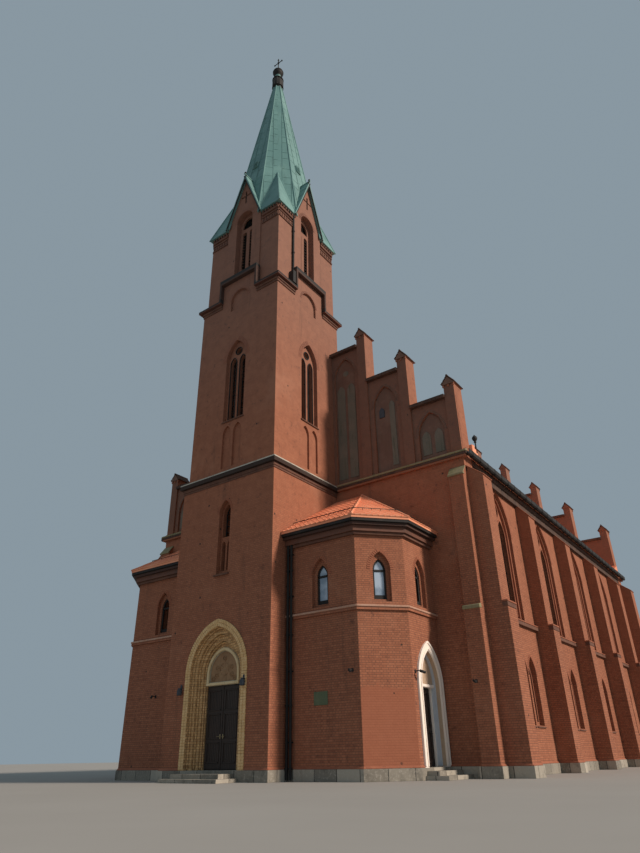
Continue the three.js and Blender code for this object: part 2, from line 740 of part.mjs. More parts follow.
function annexCornice(annex) {
  const low = annexBand(annex, 0.2, -0.3, annexTop + gap, 8.72);
  const middle = annexBand(annex, 0.33, -0.3, 8.72 - gap, 8.84);
  const gutter = annexBand(annex, 0.43, -0.3, 8.84 - gap, annexEaves);
  return join([low, middle, gutter]);
}

function annexRoof(annex) {
  const eaves = annexPlan(annex, 0.45);
  const ends = [[towerHalf + gap, naveFront - gap], [annex.ridge, naveFront - gap]];
  const level = (points, z) => points.map(([x, y]) => [x, y, z]);
  const outer = hull([
    ...level(eaves, annexEaves + gap), ...level(eaves, annexEaves + 0.08), ...level(ends, annexRidge)]);
  const inside = annexPlan(annex, 0.12, past);
  const inner = hull([
    ...level(inside, annexEaves - past),
    ...level(inside, annexEaves + 0.06),
    ...level([[towerHalf - past, naveFront + past], [annex.ridge, naveFront + past]], annexRidge - annexRoofThick),
  ]);
  return outer.subtract(inner);
}

const surroundPlan = (inset) => (
  arch(sideDoorMiddle, surroundHalf - inset, plinthTop - past, surroundPeak - inset, 1.524, 6));

function makeRightAnnex() {
  const doorway = alongX(surroundPlan(0), 6, 8);
  const walls = annexWalls(rightAnnex).subtract(doorway);
  const left = sideDoorMiddle - surroundHalf;
  const overDoor = [6.5, 8, left, naveFront, sideDoorSplit + gap, annexTop + past];
  const jamb = [6.5, 8, sideDoorMiddle, naveFront, 0, sideDoorSplit];
  const rest = cut(walls, [
    box(6.5, 8, left - gap, naveFront, sideDoorSplit, annexTop + past),
    box(6.5, 8, sideDoorMiddle, naveFront, 0, sideDoorSplit + past),
  ]);
  piece('annex_right_wall', rest, brick);
  piece('annex_right_over_door', keep(walls, ...overDoor), brick);
  piece('annex_right_jamb', keep(walls, ...jamb), brick);
  piece('annex_right_cornice', annexCornice(rightAnnex), darkMetal);
  piece('annex_right_roof', annexRoof(rightAnnex), clayTile);
  piece('annex_right_glazing', annexBand(rightAnnex, -annexWall - gap, -annexWall - 0.05, 5.75, 7.8), glass);
}

function makeLeftAnnex() {
  piece('annex_left_wall', flipX(annexWalls(leftAnnex)), brick);
  piece('annex_left_cornice', flipX(annexCornice(leftAnnex)), darkMetal);
  piece('annex_left_roof', flipX(annexRoof(leftAnnex)), clayTile);
  const pane = annexBand(leftAnnex, -annexWall - gap, -annexWall - 0.05, 5.75, 7.8);
  piece('annex_left_glazing', flipX(pane), glass);
}

function makeSideDoor() {
  const recess = alongX(arch(sideDoorMiddle, 0.7, plinthTop - past, 4.25, 1.212, 6), 7.12, 8);
  const opening = alongX(rect(sideDoorMiddle - 0.57, sideDoorMiddle + 0.57, 0, sideLintel), 6, 8);
  const frame = cut(alongX(surroundPlan(gap), surroundBack, surroundFront), [recess, opening]);
  piece('side_door_surround', keep(frame, 6, 8, 2, 6, seat, 6), plaster);

  const left = sideDoorMiddle - sideLeafHalf;
  const right = sideDoorMiddle + sideLeafHalf;
  const front = sideLeafBack + sideLeafThick;
  const pins = pivots(sideLeafBack + pivotIn, left + pivotIn, sideLintel);
  const slab = box(sideLeafBack, front, left, right, leafBottom, sideLeafTop).add(pins);
  const panels = [rect(left + 0.12, right - 0.12, 0.6, 1.5), rect(left + 0.12, right - 0.12, 1.65, 2.8)]
    .map((outline) => alongX(outline, front - 0.015, front + past));
  piece('side_door_leaf', cut(slab, panels), darkWood);

  const treads = join([box(7, 7.95, 2.76, 4.6, 0, 0.27), box(7, 8.35, 2.62, 4.6, 0, 0.13)]);
  const plinth = alongZ(annexPlan(rightAnnex, plinthOut + gap, 1), -past, 1);
  piece('side_door_steps', treads.subtract(plinth), granite);
}

function makePipes() {
  piece('tower_downpipe', downpipeShape(0), darkMetal);
  const y = annexFront - 0.14;
  const pipes = [2.93, 3.1].map((x) => alongZ(disc(x, y, 0.055, 8), 0.05, annexTop));
  const clips = [1.2, 3.6, 6.4, 8.1].map((z) => box(2.9, 3.13, y, annexFront - gap, z, z + 0.05));
  piece('annex_downpipes', join([...pipes, ...clips]), darkMetal);
}

function makeTowerPanes() {
  const outer = towerInner - gap;
  piece('tower_glazing', atTower(tube(outer, outer - 0.05, 7.6, 19.8)), glass);
  piece('belfry_louvres', atTower(tube(outer, outer - 0.05, 24.3, 28.3)), louvre);
}

makeBase();
makeTowerFront();
makePortal();
makePortalDoors();
makePortalSteps();
makeTowerLower();
makeTowerUpper();
makeUpperString();
makeBelfry();
makeSpire();
makeFinial();
makeNaveEnds();
makeNaveSides();
makeNaveRoof();
makeRightAnnex();
makeLeftAnnex();
makeSideDoor();
makePipes();
makeTowerPanes();

// the origin goes to the middle of the footprint's box
const bounds = new THREE.Box3().setFromObject(building);
const centre = bounds.getCenter(new THREE.Vector3());
building.position.set(-centre.x, -centre.y, 0);

export default building;
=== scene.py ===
import json
import math

import bmesh
import bpy
from mathutils import Matrix, Vector

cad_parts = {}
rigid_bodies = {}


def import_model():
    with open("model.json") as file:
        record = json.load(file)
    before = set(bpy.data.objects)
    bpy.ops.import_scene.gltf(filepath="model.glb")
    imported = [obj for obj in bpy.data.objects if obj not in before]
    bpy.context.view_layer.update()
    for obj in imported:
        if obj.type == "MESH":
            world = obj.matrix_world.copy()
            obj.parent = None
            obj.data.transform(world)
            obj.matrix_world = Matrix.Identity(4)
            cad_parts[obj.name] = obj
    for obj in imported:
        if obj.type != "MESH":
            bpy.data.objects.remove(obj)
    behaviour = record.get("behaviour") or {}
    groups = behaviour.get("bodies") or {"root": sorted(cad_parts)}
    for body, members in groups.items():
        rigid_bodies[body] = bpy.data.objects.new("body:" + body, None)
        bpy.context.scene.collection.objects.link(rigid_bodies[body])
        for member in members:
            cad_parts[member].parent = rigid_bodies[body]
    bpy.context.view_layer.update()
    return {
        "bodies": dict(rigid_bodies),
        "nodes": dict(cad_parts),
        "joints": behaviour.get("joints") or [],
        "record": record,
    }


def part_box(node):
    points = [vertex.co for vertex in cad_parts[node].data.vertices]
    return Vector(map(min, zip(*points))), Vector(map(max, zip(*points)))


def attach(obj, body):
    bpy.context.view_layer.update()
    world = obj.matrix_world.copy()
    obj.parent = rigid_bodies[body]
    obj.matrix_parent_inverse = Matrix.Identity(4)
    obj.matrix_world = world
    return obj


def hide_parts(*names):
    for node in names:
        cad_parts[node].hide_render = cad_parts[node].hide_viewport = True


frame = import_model()

# Sizes are the real building's, in metres, from the middle of the tower's front face at ground level.
# The model is half that size, and its origin is the middle of the footprint. The materials' sizes are
# the model's.
modelScale = 0.5
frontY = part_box("tower_front_over_portal")[0].y
toModel = Matrix.Translation((0, frontY, 0)) @ Matrix.Scale(modelScale, 4)

towerHalf = 2.785
towerMiddle = towerHalf
upperHalf = 2.66
belfryHalf = 2.54
bayHalf = 2.6
bayWidth = 1.25
naveFront = 4.75
naveBack = 32.75
naveHalf = 9.3
gableThick = 0.85
stepPitch = 2.31
stepDrop = 2.41
pilasterHalf = 0.25
pilasterPeak = 25.98
copingTop = 25.08
eavesOut = 9.66
eavesTop = 12.45
roofSlope = 1.045
buttressWide = 0.85
buttressOut = 9.9
buttressFootOut = 10.1
bayPitch = 5.92
# each buttress of a long side: its start, its width and how far it stands out past the others
buttresses = [
    (4.85, 0.9, 0.3),
    *[(11.17 + bayPitch * i, buttressWide, 0.0) for i in range(4)],
    (31.75, 0.9, 0.3),
]
bayMiddles = [8.705 + bayPitch * i for i in range(4)]
cornerIn = 8.82
cornerOut = 9.5
annexFront = 1.0
annexBend = 2.45
annexEaves = 8.95
annexRidge = 11.62
rightAnnex = {"corner": 6.1, "side": 7.42, "ridge": 4.25}
leftAnnex = {"corner": 6.6, "side": 7.92, "ridge": 4.5}
surroundFront = 7.47
sideDoorMiddle = 3.7


# camera, light and floor

cameraValues = {
    "place": (18.69318, -18.63169, 0.73699),
    "heading": 35.748, "pitch": 28.128, "roll": -1.013,
    "lens": 26.114, "sensor": 36.0,
}


def makeCamera(v):
    data = bpy.data.cameras.new("camera")
    camera = bpy.data.objects.new("camera", data)
    bpy.context.scene.collection.objects.link(camera)
    turn = (Matrix.Rotation(math.radians(v["heading"]), 4, "Z")
            @ Matrix.Rotation(math.radians(90 + v["pitch"]), 4, "X")
            @ Matrix.Rotation(math.radians(v["roll"]), 4, "Z"))
    camera.matrix_world = Matrix.Translation(toModel @ Vector(v["place"])) @ turn
    data.lens = v["lens"]
    data.sensor_width = v["sensor"]
    data.clip_start = 0.05
    data.clip_end = 500
    bpy.context.scene.camera = camera


lightValues = {
    "keyFrom": (1.0, 0.19, 0.62), "keyStrength": 3.6, "keyColor": (1.0, 0.86, 0.74), "keyAngle": 8,
    "skyColor": (0.64, 0.8, 0.92), "skyStrength": 0.39,
}


def makeLights(v):
    sun = bpy.data.lights.new("key", "SUN")
    sun.energy = v["keyStrength"]
    sun.color = v["keyColor"]
    sun.angle = math.radians(v["keyAngle"])
    key = bpy.data.objects.new("key", sun)
    key.rotation_euler = Vector(v["keyFrom"]).to_track_quat("Z", "Y").to_euler()
    bpy.context.scene.collection.objects.link(key)
    world = bpy.data.worlds.new("studio")
    world.use_nodes = True
    sky = world.node_tree.nodes["Background"]
    sky.inputs["Color"].default_value = (*v["skyColor"], 1)
    sky.inputs["Strength"].default_value = v["skyStrength"]
    bpy.context.scene.world = world
    bpy.context.scene.view_settings.view_transform = "Standard"


# node helpers

class Paint:
    # one material's node tree, with a Principled shader at its end

    def __init__(self, name, roughness=0.8, metallic=0.0, specular=0.3):
        self.material = bpy.data.materials.new(name)
        self.material.use_nodes = True
        self.tree = self.material.node_tree
        self.shader = self.tree.nodes["Principled BSDF"]
        self.shader.inputs["Roughness"].default_value = roughness
        self.shader.inputs["Metallic"].default_value = metallic
        self.shader.inputs["Specular IOR Level"].default_value = specular
        self.place = self.tree.nodes.new("ShaderNodeTexCoord").outputs["Object"]

    def put(self, socket, value):
        if isinstance(value, bpy.types.NodeSocket):
            self.tree.links.new(value, socket)
        elif isinstance(value, (tuple, list)) and len(value) == 3 and socket.type == "RGBA":
            socket.default_value = (*value, 1)
        else:
            socket.default_value = value

    def node(self, kind, settings=None, **values):
        made = self.tree.nodes.new("ShaderNode" + kind)
        for key, value in (settings or {}).items():
            setattr(made, key, value)
        for key, value in values.items():
            self.put(made.inputs[key.replace("_", " ")], value)
        return made

    def sum(self, operation, a, b=0.0, clamp=False):
        made = self.node("Math", {"operation": operation, "use_clamp": clamp})
        self.put(made.inputs[0], a)
        self.put(made.inputs[1], b)
        return made.outputs[0]

    def times(self, a, b):
        return self.sum("MULTIPLY", a, b)

    # the colour with another over it, where a value lies between two limits
    def over(self, color, tint, value, low, high, share):
        return self.mix(self.times(self.step(value, low, high), share), color, tint)

    def vector(self, operation, a, b=(0, 0, 0)):
        made = self.node("VectorMath", {"operation": operation})
        self.put(made.inputs[0], a)
        self.put(made.inputs[1], b)
        return made.outputs["Value" if operation == "DOT_PRODUCT" else 0]

    def mix(self, share, a, b, blend="MIX"):
        made = self.node("Mix", {"data_type": "RGBA", "blend_type": blend})
        self.put(made.inputs["Factor"], share)
        self.put(made.inputs[6], a)
        self.put(made.inputs[7], b)
        return made.outputs[2]

    def noise(self, scale, detail=4.0, roughness=0.6, vector=None):
        made = self.node("TexNoise", Scale=scale, Detail=detail, Roughness=roughness,
                         Vector=vector or self.place)
        return made.outputs["Fac"]

    def stretched(self, x, y, z):
        return self.node("Mapping", Vector=self.place, Scale=(x, y, z)).outputs[0]

    def step(self, value, low, high):
        made = self.node("MapRange", {"interpolation_type": "SMOOTHSTEP"}, Value=value)
        made.inputs["From Min"].default_value = low
        made.inputs["From Max"].default_value = high
        return made.outputs[0]

    def axis(self, name, vector=None):
        return self.node("SeparateXYZ", Vector=vector or self.place).outputs[name]

    # blocks in courses, in two colours
    def courses(self, plane, v, one, other, **bond):
        made = self.node("TexBrick", bond, Vector=plane, Scale=1.0,
                         Color1=one, Color2=other, Mortar=v["joint"])
        made.inputs["Mortar Size"].default_value = v["gap"]
        made.inputs["Brick Width"].default_value = v["width"]
        made.inputs["Row Height"].default_value = v["course"]
        return made

    def bump(self, height, strength, distance):
        return self.node("Bump", Height=height, Strength=strength, Distance=distance).outputs[0]

    def finish(self, color, roughness=None, normal=None):
        self.put(self.shader.inputs["Base Color"], color)
        if roughness is not None:
            self.put(self.shader.inputs["Roughness"], roughness)
        if normal is not None:
            self.put(self.shader.inputs["Normal"], normal)
        return self.material


# a wall's own plane: along it level, and straight up
def wallPlane(paint):
    facing = paint.node("NewGeometry").outputs["True Normal"]
    sideways = paint.vector("CROSS_PRODUCT", (0, 0, 1), facing)
    level = paint.vector("NORMALIZE", sideways)
    along = paint.vector("DOT_PRODUCT", paint.place, level)
    up = paint.axis("Z")
    flat = paint.step(paint.sum("ABSOLUTE", paint.axis("Z", facing)), 0.7, 0.75)
    across = paint.axis("X")
    depth = paint.axis("Y")
    pick = paint.node("Mix", {"data_type": "VECTOR"}, Factor=flat)
    for socket, parts in ((pick.inputs[4], (along, up)), (pick.inputs[5], (across, depth))):
        joined = paint.node("CombineXYZ", X=parts[0], Y=parts[1])
        paint.put(socket, joined.outputs[0])
    return pick.outputs[1], facing


brickValues = {
    "red": (0.325, 0.12, 0.066), "orange": (0.4, 0.155, 0.086), "joint": (0.2, 0.095, 0.062),
    "header": (0.2, 0.075, 0.048), "dark": (0.12, 0.055, 0.04), "pale": (0.45, 0.22, 0.14),
    "soot": (0.05, 0.037, 0.032), "haze": (0.16, 0.133, 0.12), "aged": (0.11, 0.085, 0.073),
    "lichen": (0.2, 0.19, 0.085), "slant": ((0.3, 0.1, 0.055), (0.4, 0.15, 0.085)),
    "width": 0.13, "course": 0.04, "gap": 0.0045, "header rows": 0.65, "pits": 0.9, "plain": 0.85,
}


def brickWork(name, v):
    p = Paint(name, roughness=0.88, specular=0.2)
    plane, facing = wallPlane(p)
    bricks = p.courses(plane, v, v["red"], v["orange"], offset=0.5, squash=0.5, squash_frequency=2)
    bricks.inputs["Mortar Smooth"].default_value = 0.2
    grain = p.noise(90, 3)
    patches = p.noise(0.55, 6, 0.65)
    fine = p.noise(7, 5, 0.7)
    up = p.axis("Z")
    # high up the single bricks merge into one mottled tone
    merged = p.mix(p.step(p.noise(5, 5, 0.7), 0.35, 0.65), v["red"], v["orange"])
    merged = p.mix(0.15, merged, v["joint"])
    high = p.step(up, 3.0, 7.0)
    color = p.mix(p.times(high, 0.85), bricks.outputs["Color"], merged)
    # every other course is of headers, burnt darker, and shows most near the ground
    course = p.sum("DIVIDE", up, v["course"] * 2)
    odd = p.sum("GREATER_THAN", p.sum("FRACT", course), 0.5)
    low = p.node("MapRange", Value=up)
    low.inputs["From Max"].default_value = 5.5
    low.inputs["To Min"].default_value = v["header rows"]
    low.inputs["To Max"].default_value = v["header rows"] * 0.3
    burnt = p.times(p.times(odd, low.outputs[0]), p.step(patches, 0.62, 0.4))
    dots = p.noise(13, 1, 0.5, p.vector("MULTIPLY", plane, (1.0, 0.7, 1.0)))
    burnt = p.times(burnt, p.step(dots, 0.4, 0.56))
    color = p.mix(burnt, color, v["header"])
    color = p.over(color, v["dark"], fine, 0.56, 0.72, 0.6)
    color = p.over(color, v["pale"], patches, 0.55, 0.75, 0.4)
    color = p.over(color, v["dark"], grain, 0.62, 0.8, 0.4)
    color = p.over(color, v["haze"], up, 5.5, 13.0, 0.4)
    streaks = p.noise(1.0, 5, 0.7, p.stretched(3.2, 3.2, 0.28))
    color = p.over(color, v["soot"], streaks, 0.56, 0.78, 0.4)
    moss = p.times(p.step(p.axis("Z", facing), 0.25, 0.6), p.step(p.noise(5, 4), 0.35, 0.6))
    color = p.mix(p.times(moss, 0.85), color, v["lichen"])
    # the west gable is darkest, and the slant beside the side door is plain and orange at its foot
    west = p.times(p.step(p.axis("Y", facing), -0.6, -0.8), p.step(p.axis("Y"), -5.9, -5.8))
    west = p.times(west, p.step(up, 6.0, 6.5))
    color = p.mix(p.times(west, 0.5), color, v["aged"])
    slant = p.step(p.vector("DOT_PRODUCT", facing, (0.74, -0.67, 0)), 0.97, 0.99)
    edge = p.sum("ADD", up, p.noise(2.2, 3))
    plain = p.times(slant, p.step(edge, 2.02, 1.94))
    color = p.mix(p.times(plain, v["plain"]), color, p.mix(fine, *v["slant"]))
    holes = p.node("TexVoronoi", Vector=plane, Scale=2.7, Randomness=0.9).outputs["Distance"]
    where = p.step(p.noise(0.8, 3), 0.42, 0.5)
    pits = p.times(p.times(p.step(holes, 0.075, 0.055), where), v["pits"])
    color = p.mix(pits, color, v["soot"])
    near = p.sum("SUBTRACT", 1.0, high)
    relief = p.sum("SUBTRACT", p.times(grain, 0.35), p.times(bricks.outputs["Fac"], near))
    relief = p.sum("SUBTRACT", relief, p.times(pits, 2.0))
    return p.finish(color, normal=p.bump(relief, 0.6, 0.004))


yellowBrickValues = {
    **brickValues,
    "red": (0.56, 0.33, 0.14), "orange": (0.84, 0.54, 0.26), "joint": (0.32, 0.2, 0.11),
    "header": (0.3, 0.15, 0.07), "dark": (0.24, 0.14, 0.07), "pale": (0.72, 0.53, 0.3),
    "header rows": 0.75, "pits": 0.0, "plain": 0.0, "course": 0.045, "width": 0.11,
}


# bands of colour at the heights, in real metres, where a ledge changes from one tone to the next: a finish,
# or painted shadow under a ledge
def banded(name, first, layers, roughness=0.8, dirt=(0.05, 0.04, 0.035)):
    p = Paint(name, roughness=roughness, specular=0.25)
    up = p.axis("Z")
    color = first
    for height, tint in layers:
        at = height * modelScale
        color = p.mix(p.step(up, at - 0.002, at + 0.002), color, tint)
    broad = p.noise(3.5, 5, 0.65)
    fine = p.noise(45, 3)
    color = p.over(color, dirt, broad, 0.48, 0.7, 0.45)
    color = p.over(color, dirt, fine, 0.5, 0.75, 0.3)
    return p.finish(color, normal=p.bump(fine, 0.25, 0.003))


def weathered(name, base, worn, dirt, roughness=0.85, scale=3.0, share=0.6, metallic=0.0, specular=0.3,
              haze=None):
    p = Paint(name, roughness=roughness, metallic=metallic, specular=specular)
    broad = p.noise(scale, 6, 0.65)
    fine = p.noise(scale * 14, 4, 0.6)
    runs = p.noise(scale * 1.2, 5, 0.7, p.stretched(4.0, 4.0, 0.4))
    color = p.mix(p.times(p.step(broad, 0.4, 0.65), share), base, worn)
    color = p.over(color, dirt, runs, 0.5, 0.75, share)
    color = p.over(color, dirt, fine, 0.55, 0.75, 0.3)
    if haze:
        color = p.mix(p.times(p.step(p.axis("Z"), 5.5, 13.0), 0.4), color, haze)
    shine = p.node("MapRange", Value=broad)
    shine.inputs["To Min"].default_value = roughness - 0.12
    shine.inputs["To Max"].default_value = min(1.0, roughness + 0.1)
    return p.finish(color, shine.outputs[0], p.bump(fine, 0.25, 0.004))


def tileWork():
    p = Paint("clay_tile", roughness=0.75, specular=0.25)
    broad = p.noise(1.3, 5, 0.6)
    fine = p.noise(60, 3)
    color = p.mix(p.step(broad, 0.35, 0.7), (0.8, 0.3, 0.165), (0.88, 0.4, 0.24))
    color = p.over(color, (0.46, 0.17, 0.1), fine, 0.5, 0.75, 0.4)
    return p.finish(color, normal=p.bump(fine, 0.2, 0.002))


def copperWork():
    p = Paint("copper", roughness=0.62, specular=0.4)
    broad = p.noise(0.9, 6, 0.65)
    runs = p.noise(1.4, 5, 0.65, p.stretched(5.0, 5.0, 0.35))
    fine = p.noise(40, 4)
    color = p.mix(p.step(broad, 0.35, 0.65), (0.108, 0.235, 0.225), (0.155, 0.305, 0.285))
    color = p.over(color, (0.065, 0.13, 0.12), runs, 0.5, 0.75, 0.6)
    color = p.over(color, (0.23, 0.35, 0.315), fine, 0.5, 0.8, 0.35)
    return p.finish(color, normal=p.bump(fine, 0.15, 0.003))


graniteValues = {
    "dark": (0.2, 0.182, 0.15), "light": (0.47, 0.425, 0.35), "joint": (0.03, 0.03, 0.028),
    "spots": (0.48, 0.45, 0.39), "dirt": (0.06, 0.06, 0.05),
    "start": (0.13, 0.02, 0), "width": 0.47, "course": 0.3, "gap": 0.007,
}


# long blocks of granite with open joints
def blockWork(v):
    p = Paint("granite", roughness=0.85, specular=0.3)
    blocks = p.courses(p.vector("ADD", wallPlane(p)[0], v["start"]), v, v["dark"], v["light"], offset=0.35)
    spots = p.noise(26, 4, 0.7)
    broad = p.noise(4, 5, 0.65)
    color = p.mix(p.times(p.step(spots, 0.5, 0.7), 0.5), blocks.outputs["Color"], v["spots"])
    color = p.over(color, v["dirt"], broad, 0.5, 0.72, 0.5)
    relief = p.sum("SUBTRACT", p.times(spots, 0.5), blocks.outputs["Fac"])
    return p.finish(color, normal=p.bump(relief, 0.5, 0.006))


def woodWork():
    p = Paint("wood", roughness=0.5, specular=0.4)
    grain = p.noise(6, 6, 0.65, p.stretched(14, 14, 1))
    color = p.mix(p.step(grain, 0.3, 0.7), (0.015, 0.009, 0.007), (0.045, 0.026, 0.018))
    return p.finish(color, normal=p.bump(grain, 0.3, 0.003))


def glassWork(name, dark, light, roughness):
    p = Paint(name, roughness=roughness, specular=0.8)
    cell = p.noise(4, 3, 0.5)
    color = p.mix(p.step(cell, 0.35, 0.65), dark, light)
    wave = p.noise(11, 2)
    return p.finish(color, normal=p.bump(wave, 0.12, 0.004))


# plain finishes: the base colour, the worn one and the dirt's, and what differs from the usual
finishes = {
    "floor_stone": ((0.2, 0.19, 0.17), (0.3, 0.28, 0.25), (0.08, 0.075, 0.07)),
    "light_stone": ((0.42, 0.38, 0.29), (0.55, 0.52, 0.43), (0.13, 0.115, 0.085)),
    "plaster": ((0.93, 0.83, 0.74), (0.96, 0.9, 0.82), (0.72, 0.6, 0.5), {"share": 0.25}),
    "tan_plaster": ((0.5, 0.36, 0.25), (0.58, 0.45, 0.33), (0.3, 0.2, 0.13)),
    # white plaster given a blue-grey colour: painted shade of a door reveal
    "plaster_painted_shade": ((0.52, 0.58, 0.66), (0.62, 0.67, 0.73), (0.36, 0.38, 0.42)),
    "dark_metal": ((0.022, 0.021, 0.021), (0.042, 0.04, 0.038), (0.013, 0.012, 0.012),
                   {"roughness": 0.7, "metallic": 0.2}),
    "louvre": ((0.018, 0.016, 0.015), (0.034, 0.031, 0.028), (0.01, 0.009, 0.009)),
    "clay": ((0.31, 0.108, 0.06), (0.38, 0.145, 0.08), (0.13, 0.055, 0.038),
             {"scale": 6.0, "haze": brickValues["haze"]}),
    "dark_brick": ((0.13, 0.06, 0.042), (0.2, 0.1, 0.065), (0.05, 0.035, 0.028)),
    "pale_brick": ((0.47, 0.27, 0.19), (0.56, 0.38, 0.29), (0.2, 0.11, 0.075)),
    "dark_tile": ((0.075, 0.045, 0.035), (0.14, 0.08, 0.055), (0.03, 0.025, 0.022)),
    "patched_brick": ((0.72, 0.47, 0.22), (0.84, 0.6, 0.33), (0.38, 0.22, 0.1),
                      {"scale": 11.0, "share": 0.7}),
    "carved_stone": ((0.3, 0.175, 0.095), (0.4, 0.25, 0.14), (0.12, 0.07, 0.04)),
    "cream": ((0.7, 0.54, 0.31), (0.78, 0.64, 0.42), (0.38, 0.28, 0.16), {"scale": 5.0}),
    "niche_brown": ((0.17, 0.095, 0.07), (0.23, 0.14, 0.105), (0.1, 0.065, 0.05)),
    "grey_render": ((0.15, 0.14, 0.11), (0.2, 0.165, 0.13), (0.06, 0.075, 0.045),
                    {"scale": 2.2, "share": 0.8}),
    "brass": ((0.34, 0.27, 0.15), (0.42, 0.34, 0.2), (0.16, 0.12, 0.07),
              {"roughness": 0.4, "metallic": 0.6}),
    "blue_plate": ((0.055, 0.065, 0.08), (0.08, 0.09, 0.11), (0.03, 0.03, 0.035)),
    "mossy_stone": ((0.28, 0.24, 0.14), (0.22, 0.2, 0.09), (0.1, 0.085, 0.055)),
    "green_plate": ((0.1, 0.13, 0.07), (0.15, 0.17, 0.1), (0.05, 0.06, 0.04), {"roughness": 0.5}),
}


def makeMaterials():
    made = {
        "brick": brickWork("brick", brickValues),
        "yellow_brick": brickWork("yellow_brick", yellowBrickValues),
        "granite": blockWork(graniteValues),
        "copper": copperWork(),
        "clay_tile": tileWork(),
        "wood": woodWork(),
        "glass": glassWork("glass", (0.012, 0.014, 0.017), (0.04, 0.048, 0.056), 0.18),
        # the lower string is near black below its pale top edge: painted shadow under the ledge
        "lower_string": banded("lower_string", (0.045, 0.028, 0.022), [(12.31, (0.5, 0.47, 0.4))]),
        "upper_string": banded("upper_string", (0.12, 0.05, 0.035), [
            (22.82, (0.035, 0.033, 0.032)), (23.07, (0.08, 0.045, 0.035)), (24.12, (0.035, 0.033, 0.032))]),
        "annex_cornice": banded("annex_cornice", (0.16, 0.07, 0.046), [
            (8.7, (0.08, 0.04, 0.03)), (8.82, (0.02, 0.019, 0.018))], roughness=0.6),
        "bright_glass": glassWork("bright_glass", (0.2, 0.27, 0.36), (0.42, 0.52, 0.64), 0.12),
    }
    for name, (base, worn, dirt, *options) in finishes.items():
        made[name] = weathered(name, base, worn, dirt, **(options[0] if options else {}))
    return made


ownPaint = {
    "tower_lower_string": "lower_string", "tower_upper_string": "upper_string",
    "annex_right_cornice": "annex_cornice", "annex_left_cornice": "annex_cornice",
}


def dressNodes(paints):
    for part in frame["record"]["subparts"]:
        node = frame["nodes"][part["node"]]
        node.data.materials.clear()
        node.data.materials.append(paints[ownPaint.get(part["node"], part["material_slot"])])


def makeFloor():
    bpy.ops.object.select_all(action="DESELECT")
    bpy.ops.mesh.primitive_circle_add(vertices=96, radius=180, fill_type="NGON", location=(0, 0, -0.002))
    floor = bpy.context.object
    floor.name = "studio_floor"
    p = Paint("floor_paper", roughness=0.95, specular=0.1)
    color = p.mix(p.noise(0.4, 3), (0.32, 0.305, 0.28), (0.37, 0.355, 0.33))
    floor.data.materials.append(p.finish(color))


# modelling helpers

def alone(*parts):
    for other in bpy.context.selected_objects:
        other.select_set(False)
    for part in parts:
        part.select_set(True)
    bpy.context.view_layer.objects.active = parts[0]


def startEdit(part):
    alone(part)
    bpy.ops.object.mode_set(mode="EDIT")
    bpy.ops.mesh.select_all(action="SELECT")


def endEdit():
    bpy.ops.object.mode_set(mode="OBJECT")


# in edit mode, selects the faces whose middle and normal pass a test
def pickFaces(part, test):
    bpy.ops.mesh.select_mode(type="FACE")
    bpy.ops.mesh.select_all(action="DESELECT")
    shape = bmesh.from_edit_mesh(part.data)
    for face in shape.faces:
        face.select_set(test(face.calc_center_median(), face.normal))
    bmesh.update_edit_mesh(part.data)


def pickEdges(part, test):
    bpy.ops.mesh.select_mode(type="EDGE")
    bpy.ops.mesh.select_all(action="DESELECT")
    shape = bmesh.from_edit_mesh(part.data)
    for edge in shape.edges:
        edge.select_set(test((edge.verts[0].co + edge.verts[1].co) / 2))
    bmesh.update_edit_mesh(part.data)


def outward(part):
    startEdit(part)
    bpy.ops.mesh.remove_doubles(threshold=0.0005)
    bpy.ops.mesh.normals_make_consistent(inside=False)
    endEdit()
    return part


def block(x0, x1, y0, y1, z0, z1, bevel=0.0):
    bpy.ops.mesh.primitive_cube_add(size=1, location=((x0 + x1) / 2, (y0 + y1) / 2, (z0 + z1) / 2))
    part = bpy.context.object
    part.scale = (x1 - x0, y1 - y0, z1 - z0)
    bpy.ops.object.transform_apply(location=True, rotation=False, scale=True)
    if bevel:
        startEdit(part)
        bpy.ops.mesh.bevel(offset=bevel, segments=1, affect="EDGES")
        endEdit()
    return part


# a block whose upper front edge is let down, as on a sill
def wedge(x0, x1, y0, y1, z0, z1, drop, bevel=0.0):
    part = block(x0, x1, y0, y1, z0, z1)
    startEdit(part)
    pickEdges(part, lambda middle: middle.z > z1 - 0.001 and middle.y < y0 + 0.001)
    bpy.ops.transform.translate(value=(0, 0, -drop))
    if bevel:
        bpy.ops.mesh.select_all(action="SELECT")
        bpy.ops.mesh.bevel(offset=bevel, segments=1, affect="EDGES")
    endEdit()
    return part


# a bar of some sides from one point to another, a little thinner at its ends
def rod(start, end, radius, sides=8, tip=1.0):
    start = Vector(start)
    end = Vector(end)
    along = end - start
    bpy.ops.mesh.primitive_cylinder_add(vertices=sides, radius=radius, depth=along.length)
    part = bpy.context.object
    startEdit(part)
    pickFaces(part, lambda middle, normal: normal.z > 0.9)
    bpy.ops.transform.resize(value=(tip, tip, 1))
    bpy.ops.mesh.inset(thickness=radius * 0.25 * tip)
    bpy.ops.transform.translate(value=(0, 0, radius * 0.15))
    endEdit()
    turn = along.to_track_quat("Z", "Y").to_matrix().to_4x4()
    part.data.transform(Matrix.Translation((start + end) / 2) @ turn)
    return part


# turned work: a ring pushed up and widened or narrowed through radius and height pairs
def turned(profile, sides=16):
    radius, low = profile[0]
    bpy.ops.mesh.primitive_circle_add(vertices=sides, radius=radius, fill_type="NGON", location=(0, 0, low))
    part = bpy.context.object
    bpy.ops.object.transform_apply(location=True, rotation=False, scale=False)
    startEdit(part)
    for nextRadius, high in profile[1:]:
        bpy.ops.mesh.extrude_region_move(TRANSFORM_OT_translate={"value": (0, 0, high - low)})
        grow = nextRadius / radius
        bpy.ops.transform.resize(value=(grow, grow, 1), center_override=(0, 0, high))
        radius = nextRadius
        low = high
    endEdit()
    return outward(part)


